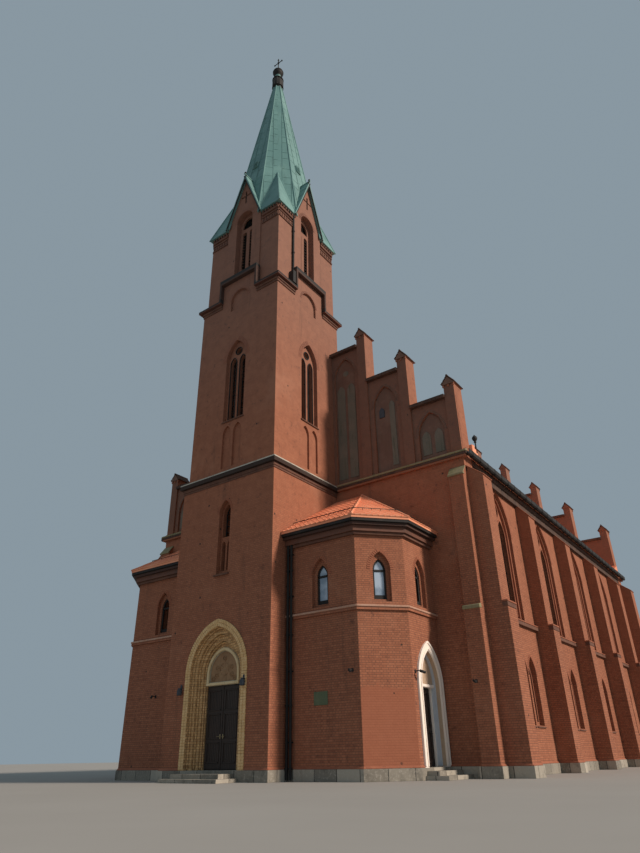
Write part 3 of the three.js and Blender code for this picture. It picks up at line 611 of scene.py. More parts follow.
def row(part, count, step):
    alone(part)
    rows = part.modifiers.new("row", "ARRAY")
    rows.count = count
    rows.use_relative_offset = False
    rows.use_constant_offset = True
    rows.constant_offset_displace = step
    bpy.ops.object.modifier_apply(modifier=rows.name)
    return part


def copyOf(part, move):
    mesh = part.data.copy()
    mesh.transform(move)
    if move.determinant() < 0:
        mesh.flip_normals()
    made = bpy.data.objects.new(part.name, mesh)
    bpy.context.scene.collection.objects.link(made)
    return made


# one part at several places, the first model itself taken away
def copies(part, moves):
    made = [copyOf(part, move) for move in moves]
    bpy.data.objects.remove(part)
    return made


def moved(part, move):
    return copies(part, [move])[0]


def joined(parts):
    if len(parts) > 1:
        alone(*parts)
        bpy.ops.object.join()
    return parts[0]


# parts at the real size become one piece of the model
def finished(name, parts, paint, body="building", smooth=0):
    piece = joined(parts)
    piece.data.transform(toModel)
    piece.name = name
    piece.data.name = name
    piece.data.materials.clear()
    piece.data.materials.append(paints[paint])
    if smooth:
        alone(piece)
        bpy.ops.object.shade_smooth_by_angle(angle=math.radians(smooth))
    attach(piece, body)
    return piece


def shift(x, y, z):
    return Matrix.Translation((x, y, z))


def turnX(degrees):
    return Matrix.Rotation(math.radians(degrees), 4, "X")


def turnY(degrees):
    return Matrix.Rotation(math.radians(degrees), 4, "Y")


def turnZ(degrees):
    return Matrix.Rotation(math.radians(degrees), 4, "Z")


# the way a line runs in plan, in degrees
def heading(x, y):
    return math.degrees(math.atan2(y, x))


# A wall part is made with the wall's face at y = 0, its middle at x = 0 and the outside towards -y,
# and these take it to its wall.
mirrorX = Matrix.Scale(-1, 4, (1, 0, 0))
eastEnd = shift(0, naveFront + naveBack, 0) @ Matrix.Scale(-1, 4, (0, 1, 0))


def towerSide(degrees, out):
    return shift(0, towerMiddle, 0) @ turnZ(degrees) @ shift(0, -out, 0)


def naveSide(y, out=naveHalf):
    return shift(out, y, 0) @ turnZ(90)


# parts of one half, as one, and their mirror image in the building's long axis
def bothHalves(parts):
    half = joined(parts)
    return [half, copyOf(half, mirrorX)]


# parts modelled on the right, taken to the left where they belong there
def onSide(parts, mirrored):
    return copies(joined(parts), [mirrorX]) if mirrored else parts


def bothEnds(parts):
    west = joined(parts)
    return [west, copyOf(west, eastEnd)]


def finishedPair(names, parts, paint):
    for name, part in zip(names, parts):
        finished(name, [part], paint)


# half of the west gable's dressing, mirrored to its other half and then to the east gable
def onGables(name, parts, paint):
    finishedPair(("west_" + name, "east_" + name), bothEnds(bothHalves(parts)), paint)


def onAllBays(parts):
    return copies(joined(parts), [naveSide(y) for y in bayMiddles])


# one bay's dressing in every bay of both long walls
def onBays(name, parts, paint):
    finishedPair(("nave_right_" + name, "nave_left_" + name), bothHalves(onAllBays(parts)), paint)


windowSides = (0, 90, 270)  # the nave hides the tower's fourth side up to its ridge


def onTower(part, out, sides=(0, 90, 180, 270)):
    return copies(part, [towerSide(side, out) for side in sides])


# one part at some places along a wall
def spaced(part, places):
    return copies(part, [shift(x, 0, 0) for x in places])


def annexSpots(annex):
    angle = heading(annex["side"] - annex["corner"], annexBend - annexFront)
    middle = ((annex["corner"] + annex["side"]) / 2, (annexFront + annexBend) / 2)
    return [
        shift((towerHalf + annex["corner"]) / 2, annexFront, 0),
        shift(*middle, 0) @ turnZ(angle),
        shift(annex["side"], 3.65, 0) @ turnZ(90),
    ]


def annexWindows():
    return [*annexSpots(rightAnnex), *[mirrorX @ move for move in annexSpots(leftAnnex)]]


# arches

gothic = math.sqrt(3)  # the rise of an equilateral arch over its half width


def archOf(half, rise):
    radius = (half * half + rise * rise) / (2 * half)
    return radius, math.asin(min(1, rise / radius))


# half the clear width of an arch at a height over its springing
def reachAt(half, rise, high):
    if high <= 0:
        return half
    radius = archOf(half, rise)[0]
    return half - radius + math.sqrt(max(0, radius * radius - high * high))


# a bar that runs up one jamb, over the arch and down the other
def archBar(half, foot, peak, rise, wide, y0, y1, steps=8, bevel=0.0):
    radius, sweep = archOf(half, rise)
    spring = peak - rise
    bar = block(half - wide, half, y0, y1, min(foot, spring - 0.02), spring)
    startEdit(bar)
    pickFaces(bar, lambda middle, normal: normal.z > 0.9)
    bpy.ops.mesh.spin(steps=steps, angle=sweep + 0.03, center=(half - radius, 0, spring), axis=(0, 1, 0))
    bpy.ops.mesh.select_all(action="SELECT")
    bpy.ops.mesh.bisect(plane_co=(0, 0, 0), plane_no=(1, 0, 0), clear_inner=True)
    endEdit()
    mirror = bar.modifiers.new("mirror", "MIRROR")
    mirror.merge_threshold = 0.002
    bpy.ops.object.modifier_apply(modifier=mirror.name)
    outward(bar)
    if bevel:
        soft = bar.modifiers.new("bevel", "BEVEL")
        soft.width = bevel
        soft.segments = 1
        soft.limit_method = "ANGLE"
        soft.angle_limit = math.radians(50)
        bpy.ops.object.modifier_apply(modifier=soft.name)
    return bar


def gothicBar(half, foot, peak, wide, y0, y1, bevel=0.0):
    return archBar(half, foot, peak, half * gothic, wide, y0, y1, bevel=bevel)


# a blind field that fills the whole of a pointed arch
def gothicField(half, foot, peak, y0, y1, bevel=0.0):
    return gothicBar(half, foot, peak, half, y0, y1, bevel)


# single bricks round an arch, set on edge
def voussoirs(half, peak, rise, deep, y0=-0.012, y1=0.01, course=0.08, joint=0.014):
    radius, sweep = archOf(half, rise)
    spring = peak - rise
    count = max(3, round((radius + deep / 2) * sweep / course))
    thick = radius * sweep / count - joint
    brick = block(half, half + deep, y0, y1, spring, spring + thick, bevel=0.006)
    centre = shift(half - radius, 0, spring)
    turns = [centre @ Matrix.Rotation(-sweep * i / count, 4, "Y") @ centre.inverted() for i in range(count)]
    right = joined(copies(brick, turns))
    return joined([right, copyOf(right, mirrorX)])


def roundBar(radius, wide, y0, y1, z, sides=20):
    bpy.ops.mesh.primitive_cylinder_add(
        vertices=sides, radius=radius, depth=y1 - y0, end_fill_type="NOTHING",
        location=(0, (y0 + y1) / 2, z), rotation=(math.pi / 2, 0, 0))
    ring = bpy.context.object
    bpy.ops.object.transform_apply(location=True, rotation=True, scale=False)
    wall = ring.modifiers.new("wall", "SOLIDIFY")
    wall.thickness = wide
    wall.offset = -1
    bpy.ops.object.modifier_apply(modifier=wall.name)
    return ring


# upright and level bars of a light, each ending at the arch
def barGrid(half, foot, peak, y, uprights, pitch, rise=None, thick=0.022, deep=0.03):
    rise = rise or half * gothic
    spring = peak - rise
    radius = archOf(half, rise)[0]
    bars = []
    for i in range(1, uprights + 1):
        x = -half + 2 * half * i / (uprights + 1)
        top = spring + math.sqrt(max(0, radius * radius - (radius - half + abs(x)) ** 2))
        bars.append(block(x - thick / 2, x + thick / 2, y, y + deep, foot, top))
    z = foot + pitch
    while z < peak - 0.12:
        reach = reachAt(half, rise, z - spring)
        bars.append(block(-reach, reach, y - 0.004, y + deep, z - thick / 2, z + thick / 2))
        z += pitch
    return joined(bars)


# half width, peak and rise of each opening, and the depth of the bricks round it
towerArches = {
    "lancet": (0.34, 11.0, 0.34 * gothic, 0.14),
    "window": (0.66, 19.9, 0.66 * gothic, 0.24),
    "niche": (0.62, 23.28, 0.62, 0.14),
    "belfry": (0.6, 29.2, 0.6, 0.2),
}


def makeTowerArches(v):
    finished("tower_arch_bricks", [
        voussoirs(*v["lancet"]),
        *onTower(voussoirs(*v["window"]), upperHalf, windowSides),
        *onTower(voussoirs(*v["niche"]), upperHalf),
        *onTower(voussoirs(*v["belfry"]), bayHalf),
    ], "clay")


# the tall window over the lancets of each bay; "ring" is the bricks' depth, "edge" a moulding's width
tallWindow = {
    "half": 1.15, "foot": 6.0, "peak": 11.8, "ring": 0.2, "edge": 0.11,
    "lights": (-0.5, 0.5), "light half": 0.48, "light foot": 6.15, "light peak": 10.6, "light edge": 0.06,
    "disc": 0.46, "disc middle": 10.95, "bar": 0.045,
}
lancets = {
    "places": (-1.05, 0, 1.05), "half": 0.44, "peak": 4.45, "ring": 0.14,
    "light half": 0.31, "light foot": 1.9, "light peak": 4.16, "light edge": 0.05, "bar": 0.04,
}


# the clear opening of a light or, a little inside it, the frame or the bars
def lightSize(v, inside=0.0, lower=0.0):
    return v["light half"] - inside, v["light foot"], v["light peak"] - lower


def makeNaveArches(tall, low):
    light = gothicBar(*lightSize(tall), tall["light edge"], 0.2, 0.27, bevel=0.012)
    window = [
        voussoirs(tall["half"], tall["peak"], tall["half"] * gothic, tall["ring"]),
        gothicBar(tall["half"], tall["foot"], tall["peak"], tall["edge"], 0.13, 0.25, bevel=0.012),
        *spaced(light, tall["lights"]),
        roundBar(tall["disc"], tall["light edge"], 0.2, 0.27, tall["disc middle"]),
    ]
    lancet = joined([
        voussoirs(low["half"], low["peak"], low["half"] * gothic, low["ring"]),
        gothicBar(*lightSize(low), low["light edge"], 0.17, 0.22, bevel=0.01),
    ])
    onBays("arch_bricks", [*window, *spaced(lancet, low["places"])], "clay")


def makeAnnexArches():
    ring = voussoirs(0.4, 7.75, 0.4 * gothic, 0.14)
    finished("annex_arch_bricks", copies(ring, annexWindows()), "clay")


nichePeaks = (22.2, 19.8, 17.2, 14.9)


# the face of the wall round a niche of the right half, at some way from the niche's middle
def nichePlace(k, x=0.0, y=0.1):
    return shift(stepPitch * (k + 0.5) + x, naveFront + y, 0)


def makeGableArches():
    parts = []
    for k, peak in enumerate(nichePeaks):
        parts += copies(voussoirs(0.65, peak, 0.65 * gothic, 0.13), [nichePlace(k)])
    # the rings are dark brown: partly the bricks' own darker tone, partly painted shade in the niches'
    # arches
    onGables("gable_arch_bricks", parts, "niche_brown")


# glazing bars and louvres

def makeWindowBars(tall, low):
    light = joined([
        gothicBar(*lightSize(tall, 0.03, 0.05), tall["bar"], 0.42, 0.47),
        barGrid(*lightSize(tall, 0.05, 0.07), 0.43, 2, 0.9),
    ])
    lancet = joined([
        gothicBar(*lightSize(low, 0.04, 0.06), low["bar"], 0.36, 0.41),
        barGrid(*lightSize(low, 0.06, 0.08), 0.37, 1, 0.26),
    ])
    z = tall["disc middle"]
    inside = tall["disc"] - 0.08
    disc = [
        roundBar(tall["disc"] - 0.06, tall["bar"], 0.42, 0.47, z),
        block(-inside, inside, 0.43, 0.46, z - 0.01, z + 0.01),
        block(-0.01, 0.01, 0.43, 0.46, z - inside, z + inside),
    ]
    parts = [*spaced(light, tall["lights"]), *disc, *spaced(lancet, low["places"])]
    onBays("window_bars", parts, "dark_metal")


annexWindow = {"half": 0.26, "foot": 5.95, "peak": 7.5, "frame": 0.07, "panelTop": 6.12, "bar": 0.08}


def makeAnnexWindows(v):
    half, foot, peak = v["half"], v["foot"], v["peak"]
    rise = half * gothic
    spring = peak - rise
    parts = [
        gothicBar(half, foot, peak, v["frame"], 0.2, 0.27, bevel=0.01),
        block(-half, half, 0.2, 0.27, spring - v["bar"] / 2, spring + v["bar"] / 2, bevel=0.01),
        block(-half, half, 0.22, 0.27, foot, v["panelTop"], bevel=0.01),
    ]
    finished("annex_window_frames", copies(joined(parts), annexWindows()), "dark_metal")
    # the blinds show pale behind the panes of the front and the slant on the right
    inside = half - 0.03
    pane = joined([
        block(-inside, inside, 0.235, 0.245, v["panelTop"], spring, bevel=0.003),
        archBar(inside, spring, 7.44, rise - 0.03, inside, 0.235, 0.245),
    ])
    finished("annex_window_panes", copies(pane, annexWindows()[:2]), "bright_glass")


towerLights = {
    "places": (-0.305, 0.305), "light half": 0.225, "light foot": 15.37, "light peak": 19.0,
    "edge": 0.04, "bar": 0.035, "disc": 0.23, "disc middle": 19.3,
}


def makeTowerBars(v):
    light = joined([
        gothicBar(*lightSize(v, 0.03, 0.05), v["bar"], 0.4, 0.44),
        barGrid(*lightSize(v, 0.045, 0.1), 0.41, 1, 0.3),
        gothicBar(*lightSize(v), v["edge"], 0.17, 0.21),
    ])
    disc = roundBar(v["disc"], v["edge"], 0.17, 0.22, v["disc middle"])
    window = joined([*spaced(light, v["places"]), disc])
    finished("tower_window_bars", onTower(window, upperHalf, windowSides), "dark_metal")
    lancet = [
        gothicBar(0.27, 9.34, 10.85, 0.04, 0.4, 0.44),
        barGrid(0.25, 9.34, 10.83, 0.41, 1, 0.28),
        *spaced(barGrid(0.105, 7.85, 9.16, 0.41, 1, 0.26), (-0.155, 0.155)),
    ]
    finished("front_lancet_bars", lancet, "dark_metal")


belfryLouvres = {"places": (-0.27, 0.27), "foot": 24.7, "count": 15, "pitch": 0.215, "head": 0.42}


def makeBelfryLouvres(v):
    slat = wedge(-0.15, 0.15, 0.38, 0.62, v["foot"], v["foot"] + 0.13, 0.09, bevel=0.008)
    side = [
        *spaced(row(slat, v["count"], (0, 0, v["pitch"])), v["places"]),
        barGrid(v["head"], 28.2, 28.95, 0.5, 3, 0.3, rise=v["head"]),
        block(-0.058, 0.058, 0.07, 0.118, 29.91, 30.89, bevel=0.006),
        block(-0.37, 0.37, 0.06, 0.118, 30.445, 30.555, bevel=0.006),
    ]
    finished("belfry_slats", onTower(joined(side), bayHalf), "louvre")


# stepped gables

gableCap = {"half": 0.32, "high": 0.4, "thick": 0.055, "out": 0.08, "coping tiles": 9, "front": 0.3}


# the two tiled slopes over a pinnacle, with its peak at z = 0
def pinnacleCap(v):
    slope = math.atan2(v["high"], v["half"])
    length = math.hypot(v["high"], v["half"])
    depth = gableThick + 2 * v["out"]
    tiles = row(block(0, length / 3 - 0.012, -v["out"], depth - v["out"], 0, v["thick"], bevel=0.012),
                3, (length / 3, 0, 0))
    side = copies(tiles, [Matrix.Rotation(slope, 4, "Y")])[0]
    ridge = rod((0, -v["out"] - 0.02, 0.03), (0, depth - v["out"] + 0.02, 0.03), 0.05, sides=8)
    return joined([side, copyOf(side, mirrorX), ridge])


def onPinnacles(part, raised=0.0):
    peak = pilasterPeak + raised
    return copies(part, [shift(stepPitch * k, naveFront, peak - stepDrop * abs(k)) for k in range(-4, 5)])


def makeGableCaps(v):
    caps = onPinnacles(pinnacleCap(v), 0.03)
    coping = []
    for k in range(1, 5):
        start = stepPitch * (k - 1) + pilasterHalf
        tile = block(start, start + 0.2, -0.12, gableThick + 0.13, -0.13, 0.045, bevel=0.012)
        pitch = (stepPitch - 2 * pilasterHalf) / v["coping tiles"]
        strip = row(tile, v["coping tiles"], (pitch, 0, 0))
        coping.append(moved(strip, shift(0, naveFront, copingTop - stepDrop * k)))
    finishedPair(("west_gable_caps", "east_gable_caps"), bothEnds([*caps, *bothHalves(coping)]), "dark_tile")
    # brown bricks close the front of each cap
    front = block(-v["front"], v["front"], -0.07, -0.04, -0.4, 0.0)
    startEdit(front)
    for side in (-1, 1):
        bpy.ops.mesh.select_all(action="SELECT")
        bpy.ops.mesh.bisect(plane_co=(0, 0, 0), plane_no=(side * 0.38, 0, v["front"]),
                            use_fill=True, clear_outer=True)
    endEdit()
    fronts = bothEnds(onPinnacles(front))
    finishedPair(("west_pinnacle_fronts", "east_pinnacle_fronts"), fronts, "niche_brown")


def makeGableBricks():
    # small corbels under each cap and sills in the niches
    half = []
    for k in range(1, 5):
        middle = stepPitch * (k - 0.5)
        half.append(wedge(middle - 0.7, middle + 0.7, 0.03, 0.24, 12.5, 12.6, 0.05, bevel=0.01))
    for k in range(5):
        x = stepPitch * k - 0.29
        z = pilasterPeak - stepDrop * k
        half.append(row(block(x, x + 0.1, -0.04, 0.02, z - 0.52, z - 0.4, bevel=0.01), 3, (0.24, 0, 0)))
    onGables("gable_corbels", copies(joined(half), [shift(0, naveFront, 0)]), "clay")


# brown fields in the niches, with the rendered blind lights that each one has
def makeNicheFields():
    fields = []
    panels = []
    for k, peak in enumerate(nichePeaks):
        fields += copies(gothicField(0.64, 12.58, peak - 0.02, 0.11, 0.155), [nichePlace(k)])
        wide = {1: 0.24, 2: 0.15}.get(k, 0.22)
        top = 18.2 if k == 1 else peak - 0.9
        panel = gothicField(wide, 12.8, top, 0.085, 0.135, bevel=0.008)
        panels += copies(panel, [nichePlace(k, x) for x in ((0.33,) if k == 2 else (-0.315, 0.315))])
    disc = turned([(0.15, -0.06), (0.17, -0.02), (0.14, 0.0)], sides=16)
    panels.append(moved(disc, nichePlace(1, y=0.19) @ shift(0, 0, 18.9) @ turnX(90)))
    onGables("niche_fields", fields, "niche_brown")
    onGables("niche_panels", panels, "grey_render")
    hatch = moved(gothicField(0.14, 15.5, 16.05, 0.08, 0.14), nichePlace(2, -0.24, 0.08))
    finished("gable_hatches", bothHalves([hatch]), "blue_plate")


def makeGableStrings():
    # the bands under the slabs are painted near black: painted shadow under the string course
    for name, low, high, out, drop, paint, slot in (
            ("gable_string_slabs", 12.33, 12.48, 0.2, 0.07, "mossy_stone", "light_stone"),
            ("gable_string_bands", 12.21, 12.325, 0.185, 0.0, "dark_tile", "brick")):
        slab = moved(wedge(2.96, 9.72, -out, 0.0, low, high, drop, bevel=0.015), shift(0, naveFront, 0))
        middle = block(-2.97, 2.97, -out, 0.0, low, high, bevel=0.015)
        eastMiddle = moved(middle, eastEnd @ shift(0, naveFront, 0))
        finished(name, [*bothEnds(bothHalves([slab])), eastMiddle], paint)


def makeEastBall():
    # a small ball on the middle pinnacle of the east gable
    ball = turned([(0.07, 25.9), (0.06, 26.6), (0.14, 26.7), (0.1, 26.8), (0.2, 26.93), (0.26, 27.1),
                   (0.2, 27.28), (0.08, 27.38), (0.02, 27.5)], sides=14)
    ball = moved(ball, shift(0, naveBack - gableThick / 2, 0))
    finished("east_gable_ball", [ball], "dark_metal", smooth=40)


# roofs

# one curved tile, its lower edge standing a little proud of the course below
def roofTile(wide, long):
    tile = block(0, wide - 0.012, -0.045, 0.0, 0, long)
    startEdit(tile)
    pickFaces(tile, lambda middle, normal: normal.z > 0.9)
    bpy.ops.transform.translate(value=(0, 0.03, 0))
    pickEdges(tile, lambda middle: middle.y < -0.01 and middle.x < 0.001)
    bpy.ops.transform.translate(value=(0, 0.02, 0))
    endEdit()
    return tile


naveTiles = {"wide": 0.3, "long": 0.36, "ridge radius": 0.13, "ridge pitch": 0.41}


def makeNaveTiles(v):
    start = naveFront + gableThick + 0.02
    length = naveBack - gableThick - 0.02 - start
    across = round(length / v["wide"])
    slope = math.degrees(math.atan(roofSlope))
    up = math.hypot(eavesOut, eavesOut * roofSlope)
    rows = int(up / v["long"])
    tile = roofTile(length / across, up / rows)
    field = row(row(tile, across, (length / across, 0, 0)), rows, (0, 0, up / rows))
    field = moved(field, shift(eavesOut, start, eavesTop) @ turnZ(90) @ turnX(slope - 90))
    finishedPair(("nave_roof_tiles_right", "nave_roof_tiles_left"), bothHalves([field]), "clay_tile")
    z = eavesTop + roofSlope * eavesOut + 0.02
    pitch = v["ridge pitch"]
    cap = rod((0, start, z), (0, start + pitch - 0.01, z), v["ridge radius"], sides=10)
    caps = row(cap, round(length / pitch), (0, pitch, 0))
    finished("nave_ridge_tiles", [caps], "clay_tile", smooth=40)


annexTiles = {
    "wide": 0.24, "long": 0.3, "rise": annexRidge - annexEaves - 0.08, "hip tiles": 9, "guard": 0.11,
}


# one slope of an annex roof between its two eaves corners and the ridge, which cut the tiles
def roofSlopePart(a, b, top, v):
    a = Vector(a)
    b = Vector(b)
    along = b - a
    inward = Vector((-along.y, along.x, 0)).normalized()
    run = (Vector(top[0]) - a).dot(inward)
    up = math.hypot(run, v["rise"])
    reach = 3.2
    across = math.ceil((along.length + 2 * reach) / v["wide"])
    rows = math.ceil(up / v["long"])
    tile = roofTile(v["wide"], up / rows)
    field = row(row(tile, across, (v["wide"], 0, 0)), rows, (0, 0, up / rows))
    tilt = turnX(heading(run, v["rise"]) - 90)
    slope = moved(field, shift(*a) @ turnZ(heading(along.x, along.y)) @ tilt @ shift(-reach, 0, 0))
    startEdit(slope)
    for foot, head, keep in ((a, Vector(top[0]), b), (b, Vector(top[-1]), a)):
        edge = head - foot
        side = Vector((-edge.y, edge.x, 0)).normalized()
        if side.dot(keep - foot) < 0:
            side = -side
        bpy.ops.mesh.select_all(action="SELECT")
        bpy.ops.mesh.bisect(plane_co=foot, plane_no=side, clear_inner=True, use_fill=False)
    endEdit()
    return slope


def makeAnnexTiles(name, annex, v, mirrored):
    out = 0.47
    z = annexEaves + 0.09
    slant = math.hypot(annex["side"] - annex["corner"], annexBend - annexFront)
    normal = Vector(((annexBend - annexFront) / slant, -(annex["side"] - annex["corner"]) / slant))
    reach = annex["corner"] * normal.x + annexFront * normal.y + out
    front = annexFront - out
    side = annex["side"] + out
    corners = [
        (towerHalf, front, z), ((reach - front * normal.y) / normal.x, front, z),
        (side, (reach - side * normal.x) / normal.y, z), (side, naveFront, z),
    ]
    ridge = [(towerHalf, naveFront, annexRidge + 0.01), (annex["ridge"], naveFront, annexRidge + 0.01)]
    tops = [ridge, ridge[1:], ridge[1:]]
    slopes = [roofSlopePart(a, b, top, v) for a, b, top in zip(corners, corners[1:], tops)]
    startEdit(slopes[0])
    bpy.ops.mesh.bisect(plane_co=(towerHalf, 0, 0), plane_no=(1, 0, 0), clear_inner=True)
    endEdit()
    hips = []
    for corner in corners[1:3]:
        start = Vector(corner)
        step = (Vector(ridge[1]) - start) / v["hip tiles"]
        for i in range(v["hip tiles"]):
            foot = start + step * i + Vector((0, 0, 0.02))
            hips.append(rod(foot, foot + step * 1.04, 0.055, sides=8, tip=0.85))
    stand = Vector((0, 0, v["guard"]))
    guards = []
    for low, nextLow, top in zip(corners, corners[1:], tops):
        start = Vector(low).lerp(Vector(top[0]), 0.2) + stand
        end = Vector(nextLow).lerp(Vector(top[-1]), 0.2) + stand
        guards.append(rod(start, end, 0.016, sides=6))
        for i in range(1, 5):
            spot = start.lerp(end, i / 5)
            guards.append(rod(spot, spot - stand, 0.01, sides=6))
    for label, parts, paint, smooth in (
            ("_snow_guard", guards, "dark_metal", 0), ("_roof_tiles", slopes, "clay_tile", 0),
            ("_hip_tiles", hips, "clay_tile", 40)):
        finished(name + label, onSide(parts, mirrored), paint, smooth=smooth)


# spire

spireFoot = 2.72
spireFootZ = 28.35
spireTopZ = 43.9
spireTopHalf = 0.3
spireLean = (spireFoot - spireTopHalf) / (spireTopZ - spireFootZ)
broachTop = 32.6

spireSeams = {"offsets": (-0.84, -0.28, 0.28, 0.84), "pitch": 0.95, "rib": 0.022, "lock": 0.03}
saddleCover = (1.42, 3.95)  # half width at the foot and height of what covers a square face
broachCover = (1.2, 4.3)  # and of what covers a slanting one


spireTilt = turnX(-math.degrees(math.atan(spireLean)))
eighth = math.tan(math.pi / 8)  # half of one side of the spire, over its distance from the middle


def spireFace(degrees):
    return towerSide(degrees, spireFoot) @ shift(0, 0, spireFootZ) @ spireTilt


def makeSpireSeams(v):
    stretch = math.hypot(1, spireLean)
    top = (spireTopZ - spireFootZ) * stretch
    faces = []
    for half, cover in (saddleCover, broachCover):
        parts = []
        for x in v["offsets"]:
            end = ((spireFoot - abs(x) / eighth) / spireLean) * stretch
            foot = cover * (1 - abs(x) / half)
            rib = v["rib"] / 2
            parts.append(block(x - rib, x + rib, -v["rib"], 0.02, foot, min(end, top), bevel=0.004))
        level = 0
        height = 1.0
        while height < top - 0.2:
            reach = (spireFoot - spireLean * height / stretch) * eighth
            hidden = max(0, half * (1 - height / cover))
            cuts = [-reach] + [x for x in v["offsets"] if abs(x) < reach] + [reach]
            for i, (left, right) in enumerate(zip(cuts, cuts[1:])):
                z = height + (0.25 if (i + level) % 2 else 0)
                if z < top - 0.1 and max(abs(left), abs(right)) > hidden + 0.05:
                    spans = [(left, right)]
                    if left < -hidden < right or left < hidden < right:
                        spans = [(left, -hidden) if left < -hidden else (hidden, right)]
                    for low, high in spans:
                        parts.append(block(low, high, -0.012, 0.02, z, z + v["lock"], bevel=0.004))
            height += v["pitch"]
            level += 1
        faces.append(joined(parts))
    seams = copies(faces[0], [spireFace(90 * i) for i in range(4)])
    seams += copies(faces[1], [spireFace(90 * i + 45) for i in range(4)])
    finished("spire_sheet_seams", seams, "copper")


def makeSpireEdges():
    parts = []
    for i in range(8):
        ends = []
        for half, z in ((spireFoot, spireFootZ), (spireTopHalf, spireTopZ)):
            corner = turnZ(45 * i) @ Vector((half, half * eighth, z))
            ends.append(shift(0, towerMiddle, 0) @ corner)
        parts.append(rod(*ends, 0.045, sides=8, tip=0.8))
    ridge = (spireFoot - spireLean * (broachTop - spireFootZ)) * math.sqrt(0.5)
    broach = [
        rod((x, -y, spireFootZ), (ridge, -ridge, broachTop), radius)
        for x, y, radius in (
            (spireFoot, spireFoot, 0.045), (spireFoot * eighth, spireFoot, 0.035),
            (spireFoot, spireFoot * eighth, 0.035))
    ]
    parts += onTower(joined(broach), 0)
    # the saddle roofs over the gables, with a rolled ridge
    saddle = [rod((0, -0.06, 32.22), (0, 1.3, 32.22), 0.05)]
    for side in (-1, 1):
        for k in range(1, 5):
            x = side * 1.38 * (1 - k / 5)
            z = spireFootZ + 3.85 * k / 5
            saddle.append(rod((x, 0, z), (x, 1.4, z), 0.016, sides=6))
    parts += onTower(joined(saddle), 2.8)
    finished("spire_edge_rolls", parts, "copper", smooth=40)


def makeVerges():
    # dark boards under the copper edges of the gables, with a small ball on each peak
    rise = 3.83
    run = 1.42
    board = block(0, math.hypot(run, rise), -0.03, 0.03, 0.07, 0.13, bevel=0.01)
    board = moved(board, shift(run, 0, spireFootZ - 0.03) @ turnY(heading(-run, -rise)))
    ball = turned([(0.02, 32.2), (0.02, 32.27), (0.05, 32.3), (0.07, 32.35), (0.05, 32.4), (0.015, 32.44)],
                  sides=10)
    finished("gable_verge_boards", onTower(joined([*bothHalves([board]), ball]), 2.78), "dark_metal")


spireHatch = {"wide": 0.4, "high": 0.62, "at": 5.3}


def makeSpireHatches(v):
    frame = block(-v["wide"] / 2, v["wide"] / 2, -0.09, 0.02, v["at"], v["at"] + v["high"], bevel=0.02)
    startEdit(frame)
    pickFaces(frame, lambda middle, normal: normal.y < -0.9)
    bpy.ops.mesh.inset(thickness=0.05)
    bpy.ops.transform.translate(value=(0, 0.05, 0))
    endEdit()
    slat = row(wedge(-0.14, 0.14, -0.075, -0.03, v["at"] + 0.08, v["at"] + 0.12, 0.02), 6, (0, 0, 0.085))
    hatches = copies(joined([frame, slat]), [spireFace(90 * i) for i in range(4)])
    finished("spire_hatches", hatches, "copper")


def makeFinial():
    knob = turned([(0.3, 43.85), (0.34, 43.95), (0.36, 44.05), (0.4, 44.2), (0.4, 44.72), (0.34, 44.86),
                   (0.28, 45.0)], sides=24)
    rib = rod((0.37, 0, 44.08), (0.37, 0, 44.86), 0.05, sides=6, tip=0.8)
    ribs = copies(rib, [turnZ(30 * i) for i in range(12)])
    rings = [turned([(0.36, z), (0.42, z + 0.03), (0.42, z + 0.07), (0.36, z + 0.1)], sides=24)
             for z in (43.98, 44.86)]
    ball = turned([(0.2, 45.42), (0.22, 45.5), (0.3, 45.58), (0.36, 45.7), (0.38, 45.84), (0.36, 45.98),
                   (0.28, 46.1), (0.16, 46.18), (0.08, 46.22), (0.06, 46.3)], sides=24)
    belt = turned([(0.37, 45.8), (0.4, 45.82), (0.4, 45.86), (0.37, 45.88)], sides=24)
    at = shift(0, towerMiddle, 0)
    knob = moved(joined([knob, *ribs, *rings, ball, belt]), at)
    dark = finished("finial_knob_and_ball", [knob], "dark_metal", smooth=40)
    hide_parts("spire_finial")
    neck = turned([(0.28, 44.98), (0.2, 45.08), (0.17, 45.2), (0.17, 45.34), (0.22, 45.44)], sides=20)
    finished("finial_neck", [moved(neck, at)], "copper", smooth=40)
    armZ = 47.09
    end = turned([(0.02, 0.3), (0.06, 0.33), (0.05, 0.37), (0.015, 0.4)], sides=10)
    cross = [
        turned([(0.05, 46.2), (0.035, 46.4), (0.035, 47.35), (0.06, 47.42), (0.05, 47.5), (0.02, 47.6)],
               sides=10),
        rod((-0.34, 0, armZ), (0.34, 0, armZ), 0.03, sides=8),
        *copies(end, [shift(0, 0, armZ) @ turnY(90 * side) for side in (-1, 1)]),
        turned([(0.03, 47.02), (0.07, 47.06), (0.07, 47.12), (0.03, 47.16)], sides=10),
    ]
    finished("finial_cross", [moved(joined(cross), at)], "dark_metal", smooth=40)


# belfry and tower ledges

def makeBelfryFrieze():
    # a band of teeth between two fillets, a slab and a second row of teeth, made over one corner pier
    band = [
        *[row(block(-0.55, -0.45, -out, 0.02, low, high, bevel=0.01), 6, (0.2, 0, 0))
          for out, low, high in ((0.05, 27.52, 27.72), (0.11, 28.16, 28.32))],
        *[block(-0.6, 0.6, -0.06, 0.02, z, z + 0.08, bevel=0.01) for z in (27.4, 27.78)],
        block(-0.6, 0.6, -0.09, 0.02, 27.98, 28.14, bevel=0.015),
    ]
    finished("belfry_frieze", onTower(joined(spaced(joined(band), (-1.93, 1.93))), belfryHalf), "dark_brick")


